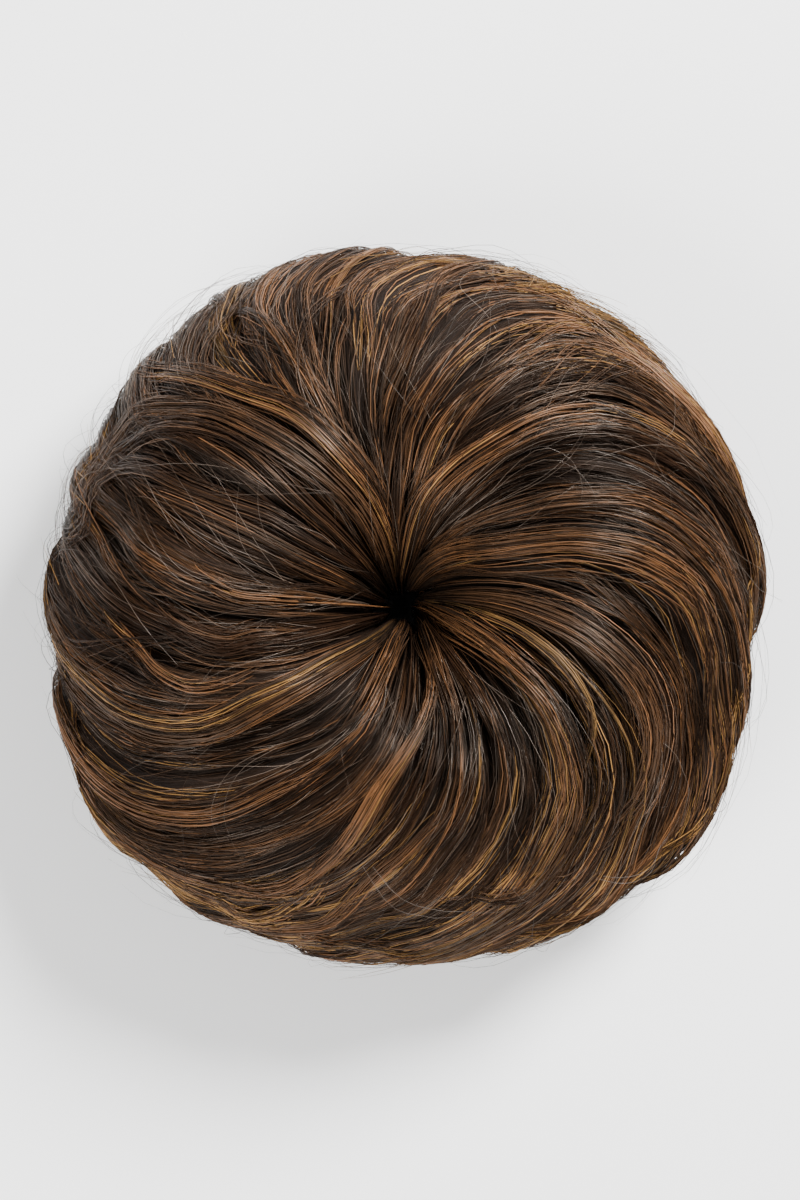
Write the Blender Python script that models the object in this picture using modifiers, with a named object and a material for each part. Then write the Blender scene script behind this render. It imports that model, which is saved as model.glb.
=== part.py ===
"""Top knot hairpiece: locks of hair that swirl out of a small hole, over a hollow bun and under its rim.

Metres, +Z up. The bun lies on its flat underside at z = 0, and its hole stands on the Z axis.
"""

from collections import namedtuple
from math import cos, pi, radians, sin

import bmesh
import bpy

# Sizes of the bun
BUN_RADIUS = 0.0625
BUN_HEIGHT = 0.050
LOCK_THICKNESS = 0.0045
THROAT_TWIST_DEG = 12.0

# Sizes of the hollow and of the elastic that lines its mouth
BAND_INNER_RADIUS = 0.0155
BAND_WIDTH = 0.0055
BAND_DEPTH = 0.0070
BAND_LIFT = 0.0010
BAND_ROUNDING = 0.0012

# Clearances and small steps
LOCK_GAP = 0.0003
SEAT_GAP = 0.0005
BAND_GAP = 0.0003
TUCK_STEP = 0.0020
MOUTH_CHAMFER = 0.0022

# Fineness of the meshes
CORE_COLUMNS = 44
BAND_STEPS = 48

# The bun's outer curve from the hole to the underside. Reach is a share of BUN_RADIUS, height of
# BUN_HEIGHT and thickness of LOCK_THICKNESS. Steps is the number of rows up to the next section.
Section = namedtuple("Section", "name reach height thickness steps")
SECTIONS = (
    Section("throat", 0.082, 0.550, 0.25, 2),
    Section("lip", 0.150, 0.780, 0.50, 3),
    Section("crown", 0.335, 0.958, 0.85, 2),
    Section("mid", 0.530, 1.000, 1.00, 2),
    Section("shoulder", 0.725, 0.930, 1.00, 3),
    Section("brow", 0.890, 0.740, 1.00, 3),
    Section("rim", 1.000, 0.470, 0.90, 3),
    Section("tuck", 0.935, 0.180, 0.70, 3),
    Section("under", 0.750, 0.032, 0.35, 0),
)

# The locks in order round the bun, anticlockwise from above. Each angle is where a lock's clockwise
# edge crosses that section, in degrees, and the next lock's edge is its other one. Lift is a share
# of LOCK_THICKNESS: the low ones are the dark hollows between the fuller locks.
Lock = namedtuple("Lock", "lip crown mid shoulder brow rim under lift colour")
LOCKS = (
    Lock(37, 20, 9, -3, -24, -46, -66, 1.20, "copper"),
    Lock(49, 33, 23, 12, -4, -25, -46, 1.00, "copper"),
    Lock(60, 48, 36, 22, 6, -12, -32, 0.55, "dark"),
    Lock(71, 60, 50, 37, 20, 0, -18, 1.05, "golden"),
    Lock(82, 71, 64, 52, 35, 14, -4, 0.95, "chestnut"),
    Lock(92, 84, 79, 70, 58, 36, 16, 0.85, "dark"),
    Lock(102, 96, 95, 89, 82, 62, 42, 0.80, "chestnut"),
    Lock(112, 107, 108, 107, 104, 89, 70, 1.10, "copper"),
    Lock(123, 119, 122, 125, 125, 113, 96, 1.00, "chestnut"),
    Lock(135, 132, 134, 137, 139, 131, 117, 0.90, "dark"),
    Lock(150, 148, 148, 148, 149, 143, 132, 0.65, "dark"),
    Lock(172, 169, 166, 161, 157, 153, 144, 0.90, "copper"),
    Lock(190, 187, 182, 176, 168, 162, 153, 0.75, "dark"),
    Lock(214, 207, 199, 190, 181, 171, 162, 1.10, "golden"),
    Lock(236, 227, 218, 208, 198, 182, 172, 0.60, "dark"),
    Lock(252, 244, 232, 220, 209, 193, 182, 1.00, "copper"),
    Lock(268, 260, 248, 236, 224, 208, 195, 1.05, "chestnut"),
    Lock(284, 277, 266, 254, 240, 221, 207, 0.80, "dark"),
    Lock(299, 291, 280, 266, 251, 232, 217, 1.05, "golden"),
    Lock(315, 306, 296, 280, 262, 242, 227, 0.85, "chestnut"),
    Lock(331, 322, 312, 297, 275, 253, 237, 1.15, "copper"),
    Lock(347, 338, 328, 314, 291, 266, 249, 0.90, "golden"),
    Lock(361, 352, 341, 328, 307, 281, 262, 1.05, "chestnut"),
    Lock(379, 367, 356, 343, 322, 298, 278, 0.60, "dark"),
)

# Where the outline swells or draws in: the middle and half width in degrees, and the share of reach
Swell = namedtuple("Swell", "middle half_width share")
SWELLS = (Swell(222, 34, 0.034), Swell(312, 32, 0.040), Swell(88, 26, -0.012), Swell(168, 20, -0.012))

# Half of a lock's cross-section: the place across, from middle to edge, and the share of its height
CROSS_SECTION = ((0.0, 1.0), (0.55, 0.84), (1.0, 0.36))

# Colour, roughness and metallic value of each material
FINISHES = {
    "dark": ((0.020, 0.011, 0.008, 1.0), 0.42, 0.0),
    "chestnut": ((0.068, 0.030, 0.016, 1.0), 0.40, 0.0),
    "copper": ((0.170, 0.066, 0.024, 1.0), 0.38, 0.0),
    "golden": ((0.260, 0.130, 0.048, 1.0), 0.38, 0.0),
    "elastic": ((0.012, 0.010, 0.010, 1.0), 0.70, 0.0),
}


def clear_scene():
    for old in list(bpy.data.objects):
        bpy.data.objects.remove(old, do_unlink=True)


def make_material(name, finish):
    colour, roughness, metallic = FINISHES[finish]
    material = bpy.data.materials.new(name)
    material.use_nodes = True
    shader = material.node_tree.nodes["Principled BSDF"]
    shader.inputs["Base Color"].default_value = colour
    shader.inputs["Roughness"].default_value = roughness
    shader.inputs["Metallic"].default_value = metallic
    material.diffuse_color = colour
    return material


def smooth(values, place):
    """The value at a fractional place along a row of values, on a smooth curve through them."""
    last = len(values) - 1
    start = min(int(place), last - 1)
    before = values[max(start - 1, 0)]
    low, high = values[start], values[start + 1]
    after = values[min(start + 2, last)]
    part = place - start
    bend = part * (2 * before - 5 * low + 4 * high - after + part * (3 * low - before - 3 * high + after))
    return low + 0.5 * part * (high - before + bend)


def swell_share(angle):
    """How much further than its plain circle the outline reaches at an angle in degrees."""
    total = 0.0
    for swell in SWELLS:
        away = abs((angle - swell.middle + 180.0) % 360.0 - 180.0)
        if away < swell.half_width:
            total += swell.share * 0.5 * (1.0 + cos(pi * away / swell.half_width))
    return total


def on_circle(radius, angle, height):
    """A point at a height, at a distance from the Z axis and an angle in degrees."""
    return (radius * cos(radians(angle)), radius * sin(radians(angle)), height)


def outer_curve(place):
    """Radius and height of the bun's outer curve at a place along the sections."""
    radius = BUN_RADIUS * smooth([section.reach for section in SECTIONS], place)
    height = BUN_HEIGHT * smooth([section.height for section in SECTIONS], place)
    return radius, height


def bun_point(place, angle, depth):
    """The point of the bun at a place along the sections, an angle and a depth under the outer curve."""
    probe = 0.02
    last = len(SECTIONS) - 1
    radius_in, height_in = outer_curve(max(place - probe, 0.0))
    radius_out, height_out = outer_curve(min(place + probe, last))
    run, rise = radius_out - radius_in, height_out - height_in
    length = (run * run + rise * rise) ** 0.5
    radius, height = outer_curve(place)
    radius += depth * rise / length
    height -= depth * run / length
    radius *= 1.0 + swell_share(angle) * min(radius / BUN_RADIUS, 1.0) ** 2
    return on_circle(radius, angle, height)


def thickness_at(place):
    return LOCK_THICKNESS * smooth([section.thickness for section in SECTIONS], place)


def row_places():
    """The places along the sections where each lofted row lies."""
    places = []
    for number, section in enumerate(SECTIONS):
        for step in range(section.steps):
            places.append(number + step / section.steps)
    places.append(float(len(SECTIONS) - 1))
    return places


def edge_angles(lock, turns):
    """A lock's clockwise edge at each section, in degrees, with whole turns added."""
    throat = lock.lip + THROAT_TWIST_DEG
    tuck = 0.5 * (lock.rim + lock.under)
    row = (throat, lock.lip, lock.crown, lock.mid, lock.shoulder, lock.brow, lock.rim, tuck, lock.under)
    return [angle + 360.0 * turns for angle in row]


def loft_rings(name, rings, closed):
    """A mesh through rings of points: joined end to end when closed, and capped otherwise."""
    shell = bmesh.new()
    rows = [[shell.verts.new(point) for point in ring] for ring in rings]
    followers = rows[1:] + rows[:1] if closed else rows[1:]
    for row, following in zip(rows, followers):
        for side in range(len(row)):
            after = (side + 1) % len(row)
            shell.faces.new((row[side], row[after], following[after], following[side]))
    if not closed:
        shell.faces.new(rows[0][::-1])
        shell.faces.new(rows[-1])
    bmesh.ops.triangulate(shell, faces=shell.faces[:])
    bmesh.ops.recalc_face_normals(shell, faces=shell.faces[:])
    mesh = bpy.data.meshes.new(name)
    shell.to_mesh(mesh)
    shell.free()
    mesh.shade_smooth()
    mesh.set_sharp_from_angle(angle=radians(50))
    return mesh


def add_object(name, mesh, finish, collection):
    piece = bpy.data.objects.new(name, mesh)
    piece.data.materials.append(make_material(name + "_hair" if finish != "elastic" else name, finish))
    collection.objects.link(piece)
    return piece


def make_lock(number, collection):
    """One lock, lofted from the throat to the tuck under the rim, with a domed top.

    Its lower side is raised by what a straight facet would sag into the round hair under it.
    """
    lock = LOCKS[number]
    following = LOCKS[(number + 1) % len(LOCKS)]
    clockwise = edge_angles(lock, 0)
    other = edge_angles(following, 1 if number == len(LOCKS) - 1 else 0)
    across = [(-share, rise) for share, rise in CROSS_SECTION[:0:-1]] + list(CROSS_SECTION)
    rings = []
    for place in row_places():
        start, end = smooth(clockwise, place), smooth(other, place)
        thickness = thickness_at(place)
        radius = outer_curve(place)[0]
        middle = 0.5 * (start + end)
        half = 0.5 * (end - start) - 0.5 * LOCK_GAP / (radius * radians(1.0))
        sag = radius * (1.0 - cos(radians(0.5 * half)))
        ring = []
        for share, rise in across:
            depth = thickness * (1.0 - lock.lift * rise)
            ring.append(bun_point(place, middle + share * half, depth))
        for share in (1.0, 0.0, -1.0):
            ring.append(bun_point(place, middle + share * half, thickness - sag))
        rings.append(ring)
    name = "lock_%02d" % (number + 1)
    return add_object(name, loft_rings(name, rings, closed=False), lock.colour, collection)


def make_core(collection):
    """The hair under the locks: a hollow bun with a flat foot and a seat for the elastic."""
    last = len(SECTIONS) - 1
    foot_radius = outer_curve(last)[0] - TUCK_STEP
    seat_radius = BAND_INNER_RADIUS + BAND_WIDTH + BAND_GAP
    seat_height = BAND_LIFT + BAND_DEPTH + BAND_GAP
    inside = (
        (foot_radius, 0.0),
        (seat_radius + MOUTH_CHAMFER, 0.0),
        (seat_radius, MOUTH_CHAMFER),
        (seat_radius, seat_height),
        (BAND_INNER_RADIUS, seat_height),
    )
    rings = []
    angles = [360.0 * column / CORE_COLUMNS for column in range(CORE_COLUMNS)]
    for place in row_places():
        depth = thickness_at(place) + SEAT_GAP
        rings.append([bun_point(place, angle, depth) for angle in angles])
    for radius, height in inside:
        rings.append([on_circle(radius, angle, height) for angle in angles])
    return add_object("hair_core", loft_rings("hair_core", rings, closed=True), "dark", collection)


def make_band(collection):
    """The elastic: a turned ring with a flat lower face, just above the bun's foot."""
    low, high = BAND_LIFT, BAND_LIFT + BAND_DEPTH
    near, far = BAND_INNER_RADIUS, BAND_INNER_RADIUS + BAND_WIDTH
    cut = BAND_ROUNDING
    outline = (
        (far, high - cut), (far, low + cut), (far - cut, low), (near + cut, low),
        (near, low + cut), (near, high - cut), (near + cut, high), (far - cut, high),
    )
    profile = bpy.data.meshes.new("elastic_band")
    corners = [(radius, 0.0, height) for radius, height in outline]
    edges = [(corner, (corner + 1) % len(corners)) for corner in range(len(corners))]
    profile.from_pydata(corners, edges, [])
    band = add_object("elastic_band", profile, "elastic", collection)
    turn = band.modifiers.new("turn", "SCREW")
    turn.axis = "Z"
    turn.steps = turn.render_steps = BAND_STEPS
    turn.use_merge_vertices = True
    turn.merge_threshold = 0.00001
    turn.use_smooth_shade = True
    return band


def main():
    clear_scene()
    collection = bpy.data.collections.new("top_knot_hairpiece")
    bpy.context.scene.collection.children.link(collection)
    make_core(collection)
    for number in range(len(LOCKS)):
        make_lock(number, collection)
    make_band(collection)


main()
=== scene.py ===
"""Looks of the top knot hairpiece: its packed hair, strands, fly-away hairs and elastic.

The strands follow the same swirl as the CAD locks: a place along the sections, from the elastic up
through the hole, over the crown and back under the rim, and a place round the ring of locks.
"""

from collections import namedtuple
from math import pi, radians

import bmesh
import bpy
import numpy as np
from bpy.props import FloatProperty, FloatVectorProperty, IntProperty, PointerProperty
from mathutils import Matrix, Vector


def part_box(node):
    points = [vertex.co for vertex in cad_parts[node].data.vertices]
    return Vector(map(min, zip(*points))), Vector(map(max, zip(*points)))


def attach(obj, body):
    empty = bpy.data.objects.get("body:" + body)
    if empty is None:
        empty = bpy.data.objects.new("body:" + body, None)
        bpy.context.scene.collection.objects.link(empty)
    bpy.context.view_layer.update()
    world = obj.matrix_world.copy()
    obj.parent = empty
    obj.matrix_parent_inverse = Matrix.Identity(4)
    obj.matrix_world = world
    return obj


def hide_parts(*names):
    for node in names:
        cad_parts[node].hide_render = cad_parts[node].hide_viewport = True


bl_info = {
    "name": "Top knot hairpiece",
    "version": (1, 0, 0),
    "blender": (4, 5, 0),
    "location": "3D View > Sidebar > Top knot",
    "description": "Dresses the top knot hairpiece with strands, fly-away hairs and its elastic",
    "category": "Add Mesh",
}

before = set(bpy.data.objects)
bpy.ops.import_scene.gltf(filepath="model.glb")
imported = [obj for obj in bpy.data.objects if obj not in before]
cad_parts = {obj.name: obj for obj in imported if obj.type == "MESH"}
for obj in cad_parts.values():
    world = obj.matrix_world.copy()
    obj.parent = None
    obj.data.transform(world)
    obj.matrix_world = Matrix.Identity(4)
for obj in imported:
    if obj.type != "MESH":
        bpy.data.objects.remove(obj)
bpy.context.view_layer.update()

# The hair's curve from the elastic, up through the hole, over the crown and back under the rim.
# Reach is a share of the bun's radius, height of its height and thickness of a lock's thickness.
# Points is how densely a strand's points lie up to the next section.
Section = namedtuple("Section", "name reach height thickness points")
SECTIONS = (
    Section("root", 0.245, 0.190, 0.04, 1.0),
    Section("hollow", 0.165, 0.370, 0.12, 1.0),
    Section("throat", 0.082, 0.550, 0.25, 2.5),
    Section("lip", 0.150, 0.780, 0.50, 3.0),
    Section("crown", 0.335, 0.958, 0.85, 2.0),
    Section("mid", 0.530, 1.000, 1.00, 2.5),
    Section("shoulder", 0.725, 0.930, 1.00, 3.0),
    Section("brow", 0.890, 0.740, 1.00, 3.0),
    Section("rim", 1.000, 0.470, 0.90, 2.0),
    Section("tuck", 0.935, 0.180, 0.70, 2.0),
    Section("under", 0.750, 0.032, 0.35, 2.0),
    Section("foot", 0.580, 0.012, 0.02, 1.5),
    Section("gather", 0.400, 0.012, 0.02, 0.0),
)
PLACE = {section.name: float(number) for number, section in enumerate(SECTIONS)}

# How far the swirl turns, in degrees, between the sections that the locks' table leaves out
THROAT_TWIST, HOLLOW_TWIST, ROOT_TWIST = 12.0, 10.0, 6.0
FOOT_TWIST, GATHER_TWIST = 9.0, 5.0

# The locks in order round the bun, anticlockwise from above: where each one's clockwise edge
# crosses a section, in degrees, its lift as a share of the thickness, and its colour.
Lock = namedtuple("Lock", "lip crown mid shoulder brow rim under lift colour")
LOCKS = (
    Lock(37, 20, 9, -3, -24, -46, -66, 1.20, "copper"),
    Lock(49, 33, 23, 12, -4, -25, -46, 1.00, "copper"),
    Lock(60, 48, 36, 22, 6, -12, -32, 0.55, "dark"),
    Lock(71, 60, 50, 37, 20, 0, -18, 1.05, "golden"),
    Lock(82, 71, 64, 52, 35, 14, -4, 0.95, "chestnut"),
    Lock(92, 84, 79, 70, 58, 36, 16, 0.85, "dark"),
    Lock(102, 96, 95, 89, 82, 62, 42, 0.80, "chestnut"),
    Lock(112, 107, 108, 107, 104, 89, 70, 1.10, "copper"),
    Lock(123, 119, 122, 125, 125, 113, 96, 1.00, "chestnut"),
    Lock(135, 132, 134, 137, 139, 131, 117, 0.90, "dark"),
    Lock(150, 148, 148, 148, 149, 143, 132, 0.65, "dark"),
    Lock(172, 169, 166, 161, 157, 153, 144, 0.90, "copper"),
    Lock(190, 187, 182, 176, 168, 162, 153, 0.75, "dark"),
    Lock(214, 207, 199, 190, 181, 171, 162, 1.10, "golden"),
    Lock(236, 227, 218, 208, 198, 182, 172, 0.60, "dark"),
    Lock(252, 244, 232, 220, 209, 193, 182, 1.00, "copper"),
    Lock(268, 260, 248, 236, 224, 208, 195, 1.05, "chestnut"),
    Lock(284, 277, 266, 254, 240, 221, 207, 0.80, "dark"),
    Lock(299, 291, 280, 266, 251, 232, 217, 1.05, "golden"),
    Lock(315, 306, 296, 280, 262, 242, 227, 0.85, "chestnut"),
    Lock(331, 322, 312, 297, 275, 253, 237, 1.15, "copper"),
    Lock(347, 338, 328, 314, 291, 266, 249, 0.90, "golden"),
    Lock(361, 352, 341, 328, 307, 281, 262, 1.05, "chestnut"),
    Lock(379, 367, 356, 343, 322, 298, 278, 0.60, "dark"),
)

# How deep the valleys between the locks are, as a share of a lock's thickness: on the crown, and at
# the rim, where the hair spans them
VALLEY, VALLEY_AT_RIM = 0.64, 0.36

# Where the outline swells or draws in: the middle and half width in degrees, and how far as a
# share of the reach
Swell = namedtuple("Swell", "middle half_width share")
SWELLS = (Swell(222, 34, 0.034), Swell(312, 32, 0.040), Swell(88, 26, -0.012),
          Swell(168, 20, -0.012))

# The share of each hair colour in the wisps of a lock of that colour
Mix = namedtuple("Mix", "dark chestnut copper golden")
LOCK_MIXES = {
    "dark": Mix(0.78, 0.20, 0.02, 0.00),
    "chestnut": Mix(0.45, 0.45, 0.08, 0.02),
    "copper": Mix(0.30, 0.42, 0.24, 0.04),
    "golden": Mix(0.30, 0.42, 0.18, 0.10),
}

# Where the rim is more golden: the middle and half width in degrees, and its wisps' colours
GoldenRim = namedtuple("GoldenRim", "middle half_width mix")
GOLDEN_RIM = (GoldenRim(50, 40, Mix(0.12, 0.26, 0.16, 0.46)),
              GoldenRim(238, 48, Mix(0.10, 0.24, 0.22, 0.44)),
              GoldenRim(345, 22, Mix(0.26, 0.36, 0.12, 0.26)))

# The share of each hair colour in the strands of one wisp of that colour
WISP_MIXES = {
    "dark": Mix(0.86, 0.14, 0.00, 0.00),
    "chestnut": Mix(0.22, 0.70, 0.08, 0.00),
    "copper": Mix(0.05, 0.30, 0.62, 0.03),
    "golden": Mix(0.05, 0.27, 0.14, 0.54),
}
COLOURS = Mix._fields

# How each hair colour catches the light: its gloss, the gloss's tint and how grey its light end is,
# which paints a highlight on its lighter strands
Look = namedtuple("Look", "gloss tint grey")
LOOKS = {
    "dark": Look(0.16, (1.0, 0.86, 0.73), 0.14),
    "chestnut": Look(0.27, (1.0, 0.88, 0.75), 0.08),
    "copper": Look(0.33, (1.0, 0.90, 0.80), 0.06),
    "golden": Look(0.30, (1.0, 0.89, 0.74), 0.04),
    "pale": Look(0.60, (1.0, 0.94, 0.88), 0.2),
}

# Wisps that stand out in the photo, laid over the locks: their width and height over the locks in
# metres, how light they are, and their path from above as angles and shares of the bun's radius.
# A path that starts near the hole comes out of it, and one that ends at the rim turns under it.
Wisp = namedtuple("Wisp", "colour width over tone path")
WISPS = (
    Wisp("golden", 0.0056, 0.0018, 0.22,
         ((87, 0.78), (84, 0.86), (80, 0.91), (74, 0.95), (57, 0.955), (38, 0.97), (23, 0.99))),
    Wisp("copper", 0.0034, 0.0013, 0.05,
         ((92, 0.62), (90, 0.72), (87, 0.81), (82, 0.87), (76, 0.92), (67, 0.945), (52, 0.96))),
    Wisp("copper", 0.0052, 0.0020, 0.14,
         ((80, 0.36), (74, 0.52), (68, 0.72), (63, 0.85), (59, 0.915), (51, 0.945),
          (43, 0.955), (33, 0.97))),
    Wisp("copper", 0.0042, 0.0017, 0.10,
         ((66, 0.50), (60, 0.68), (58, 0.82), (55, 0.885), (49, 0.925), (42, 0.94),
          (34, 0.955))),
    Wisp("chestnut", 0.0052, 0.0013, 0.15,
         ((71, 0.55), (62, 0.64), (56, 0.78), (52, 0.845), (47, 0.885), (40, 0.92), (33, 0.94),
          (25, 0.95))),
    Wisp("chestnut", 0.0040, 0.0017, 0.12,
         ((78, 0.30), (71, 0.43), (61, 0.57), (55, 0.69), (50, 0.77), (44, 0.83), (37, 0.875),
          (29, 0.91), (22, 0.925))),
    Wisp("copper", 0.0058, 0.0020, 0.04,
         ((86, 0.17), (80, 0.29), (70, 0.40), (61, 0.50), (54, 0.62), (48, 0.71), (43, 0.775),
          (37, 0.83), (30, 0.875))),
    Wisp("copper", 0.0050, 0.0018, 0.08,
         ((60, 0.19), (53, 0.26), (42, 0.37), (36, 0.47), (29, 0.59), (25, 0.69), (20, 0.77),
          (14, 0.84), (9, 0.90), (3, 0.93))),
    Wisp("copper", 0.0066, 0.0026, 0.16,
         ((60, 0.13), (52, 0.18), (34, 0.27), (24, 0.40), (18, 0.52), (12, 0.64), (7, 0.72),
          (2, 0.80), (-3, 0.85), (-6, 0.875), (-10, 0.842), (-13, 0.79))),
    Wisp("chestnut", 0.0040, 0.0012, 0.10,
         ((43, 0.12), (22, 0.24), (14, 0.375), (11, 0.49), (3, 0.57), (-4, 0.645), (-10, 0.74),
          (-18, 0.83), (-24, 0.89), (-29, 0.92), (-34, 0.95))),
    Wisp("golden", 0.0030, 0.0014, 0.0,
         ((31, 0.97), (24, 0.985), (14, 0.99), (4, 0.99), (-6, 0.99))),
    Wisp("copper", 0.0030, 0.0020, 0.05,
         ((106, 0.60), (104, 0.74), (101, 0.80), (98, 0.92), (95, 0.96), (91, 0.975))),
    Wisp("copper", 0.0036, 0.0016, 0.0,
         ((112, 0.55), (109, 0.70), (105, 0.83), (102, 0.925), (98, 0.975))),
    Wisp("dark", 0.0048, 0.0012, 0.30,
         ((114, 0.45), (113, 0.59), (110, 0.83), (105, 0.96))),
    Wisp("copper", 0.0040, 0.0018, -0.05,
         ((113, 0.50), (114, 0.61), (115, 0.71), (116, 0.83), (115, 0.93), (112, 0.98))),
    Wisp("dark", 0.0026, 0.0022, 0.42,
         ((109, 0.58), (112, 0.70), (115, 0.82), (118, 0.90), (120, 0.94), (121, 0.96))),
    Wisp("golden", 0.0062, 0.0012, -0.30,
         ((127, 0.70), (126, 0.77), (125, 0.87), (124, 0.94), (121, 0.985))),
    Wisp("copper", 0.0054, 0.0020, 0.0,
         ((97, 0.16), (100, 0.21), (107, 0.35), (113, 0.46), (117, 0.55), (122, 0.64),
          (128, 0.73), (132, 0.83), (135, 0.92), (138, 0.975))),
    Wisp("chestnut", 0.0060, 0.0022, 0.18,
         ((112, 0.19), (119, 0.36), (125, 0.49), (130, 0.61), (134, 0.72), (139, 0.82),
          (143, 0.90), (149, 0.935), (156, 0.95), (163, 0.96))),
    Wisp("dark", 0.0050, 0.0018, 0.40,
         ((131, 0.17), (134, 0.345), (134, 0.48), (135, 0.63), (140, 0.75), (145, 0.84),
          (151, 0.91), (159, 0.94), (168, 0.95))),
    Wisp("dark", 0.0046, 0.0018, 0.28,
         ((139, 0.13), (146, 0.29), (146, 0.425), (150, 0.56), (152, 0.71), (152, 0.82),
          (155, 0.90), (161, 0.93), (169, 0.94))),
    Wisp("chestnut", 0.0046, 0.0015, 0.0,
         ((158, 0.16), (156, 0.33), (155, 0.49), (155, 0.66), (156, 0.80), (158, 0.89),
          (165, 0.915))),
    Wisp("copper", 0.0028, 0.0019, 0.15,
         ((179, 0.20), (178, 0.33), (177, 0.45), (174, 0.52), (171, 0.58), (166, 0.64))),
    Wisp("copper", 0.0032, 0.0013, 0.0,
         ((179, 0.52), (177, 0.605), (176, 0.71), (174, 0.80), (170, 0.87), (165, 0.93))),
    Wisp("golden", 0.0040, 0.0004, -0.15,
         ((182, 0.92), (180, 0.94), (172, 0.963), (164, 0.98), (157, 0.98), (149, 0.974))),
    Wisp("golden", 0.0036, 0.0020, -0.12,
         ((229, 0.13), (222, 0.18), (215, 0.28), (214, 0.39), (211, 0.48), (211, 0.58),
          (208, 0.67), (204, 0.75), (200, 0.82), (194, 0.89), (189, 0.95), (184, 0.98))),
    Wisp("chestnut", 0.0042, 0.0021, 0.08,
         ((236, 0.14), (228, 0.20), (221, 0.30), (218, 0.40), (216, 0.49), (215, 0.58),
          (212, 0.67), (208, 0.75), (204, 0.82), (198, 0.89), (193, 0.95), (188, 0.98))),
    Wisp("copper", 0.0040, 0.0015, 0.08,
         ((203, 0.36), (204, 0.49), (202, 0.60), (197, 0.67), (190, 0.74), (185, 0.80),
          (180, 0.865), (176, 0.905))),
    Wisp("dark", 0.0050, 0.0018, 0.50,
         ((200, 0.22), (194, 0.40), (193, 0.50), (187, 0.60), (181, 0.69), (177, 0.76))),
    Wisp("chestnut", 0.0052, 0.0018, 0.16,
         ((233, 0.335), (224, 0.44), (216, 0.555), (214, 0.67), (210, 0.77), (204, 0.85),
          (199, 0.92), (194, 0.97))),
    Wisp("copper", 0.0064, 0.0024, 0.12,
         ((250, 0.40), (244, 0.50), (237, 0.58), (232, 0.67), (228, 0.75), (223, 0.82),
          (218, 0.88), (213, 0.93), (207, 0.97), (202, 0.99))),
    Wisp("chestnut", 0.0056, 0.0016, 0.10,
         ((252, 0.54), (248, 0.64), (242, 0.74), (235, 0.815), (229, 0.877), (224, 0.93),
          (218, 0.97), (212, 0.99))),
    Wisp("golden", 0.0080, 0.0026, 0.14,
         ((258, 0.54), (256, 0.65), (254, 0.75), (252, 0.84), (249, 0.915), (244, 0.96),
          (238, 0.974), (231, 0.98), (225, 0.99), (218, 0.995))),
    Wisp("copper", 0.0054, 0.0020, 0.06,
         ((298, 0.163), (291, 0.234), (283, 0.30), (274, 0.37), (269, 0.424), (263, 0.483),
          (259, 0.583), (254, 0.72), (249, 0.82), (244, 0.88), (238, 0.91), (231, 0.925))),
    Wisp("copper", 0.0040, 0.0026, 0.10,
         ((262, 0.10), (254, 0.12), (251, 0.17), (248, 0.27), (245, 0.354), (245, 0.42))),
    Wisp("copper", 0.0060, 0.0030, 0.24,
         ((12, 0.09), (-3, 0.094), (-19, 0.19), (-26, 0.30), (-30, 0.40), (-34, 0.486),
          (-40, 0.563), (-46, 0.626))),
    Wisp("golden", 0.0032, 0.0026, -0.26,
         ((4, 0.13), (-7, 0.254), (-15, 0.377), (-22, 0.483), (-30, 0.58), (-38, 0.631),
          (-46, 0.656), (-53, 0.649))),
    Wisp("chestnut", 0.0066, 0.0022, 0.18,
         ((8, 0.18), (-2, 0.364), (-8, 0.481), (-14, 0.587), (-21, 0.69), (-28, 0.753),
          (-36, 0.797), (-44, 0.833), (-53, 0.848), (-61, 0.855), (-69, 0.85))),
    Wisp("chestnut", 0.0060, 0.0018, 0.12,
         ((-1, 0.55), (-8, 0.67), (-15, 0.77), (-21, 0.86), (-28, 0.915), (-36, 0.952),
          (-44, 0.965), (-53, 0.967), (-62, 0.967), (-71, 0.971))),
    Wisp("golden", 0.0044, 0.0012, 0.05,
         ((-58, 0.94), (-66, 0.95), (-74, 0.956), (-82, 0.954), (-90, 0.964), (-98, 0.97))),
    Wisp("copper", 0.0046, 0.0022, 0.05,
         ((297, 0.47), (289, 0.547), (278, 0.606), (270, 0.684), (264, 0.753), (260, 0.828),
          (257, 0.885), (253, 0.93))),
    Wisp("dark", 0.0036, 0.0013, 0.35,
         ((309, 0.86), (302, 0.862), (294, 0.851), (285, 0.834), (276, 0.819), (269, 0.805))),
    Wisp("dark", 0.0034, 0.0026, 0.60,
         ((334, 0.10), (323, 0.117), (314, 0.215), (310, 0.321), (307, 0.415), (304, 0.50),
          (300, 0.574))),
    Wisp("chestnut", 0.0040, 0.0022, 0.10,
         ((325, 0.10), (310, 0.116), (298, 0.217), (293, 0.33), (288, 0.426), (284, 0.50))),
    Wisp("golden", 0.0060, 0.0002, 0.0,
         ((2, 0.985), (-8, 0.985), (-15, 0.985), (-23, 0.985), (-31, 0.99), (-38, 0.99),
          (-45, 0.99), (-54, 0.985))),
    Wisp("chestnut", 0.0046, 0.0016, 0.12,
         ((104, 0.20), (100, 0.36), (97, 0.50), (92, 0.62), (88, 0.74), (85, 0.86), (82, 0.95))),
    Wisp("dark", 0.0044, 0.0016, 0.42,
         ((99, 0.16), (96, 0.30), (92, 0.44), (85, 0.58), (79, 0.70), (75, 0.80), (70, 0.88))),
    Wisp("copper", 0.0030, 0.0018, 0.10,
         ((88, 0.22), (84, 0.34), (80, 0.46), (75, 0.56), (70, 0.66))),
    Wisp("golden", 0.0056, 0.0012, 0.10,
         ((76, 0.88), (70, 0.93), (61, 0.955), (50, 0.965), (38, 0.975), (27, 0.985),
          (16, 0.99))),
    Wisp("golden", 0.0040, 0.0006, -0.05,
         ((218, 0.90), (212, 0.95), (206, 0.97), (198, 0.98), (190, 0.985), (182, 0.98))),
    Wisp("golden", 0.0050, 0.0016, 0.12,
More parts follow.
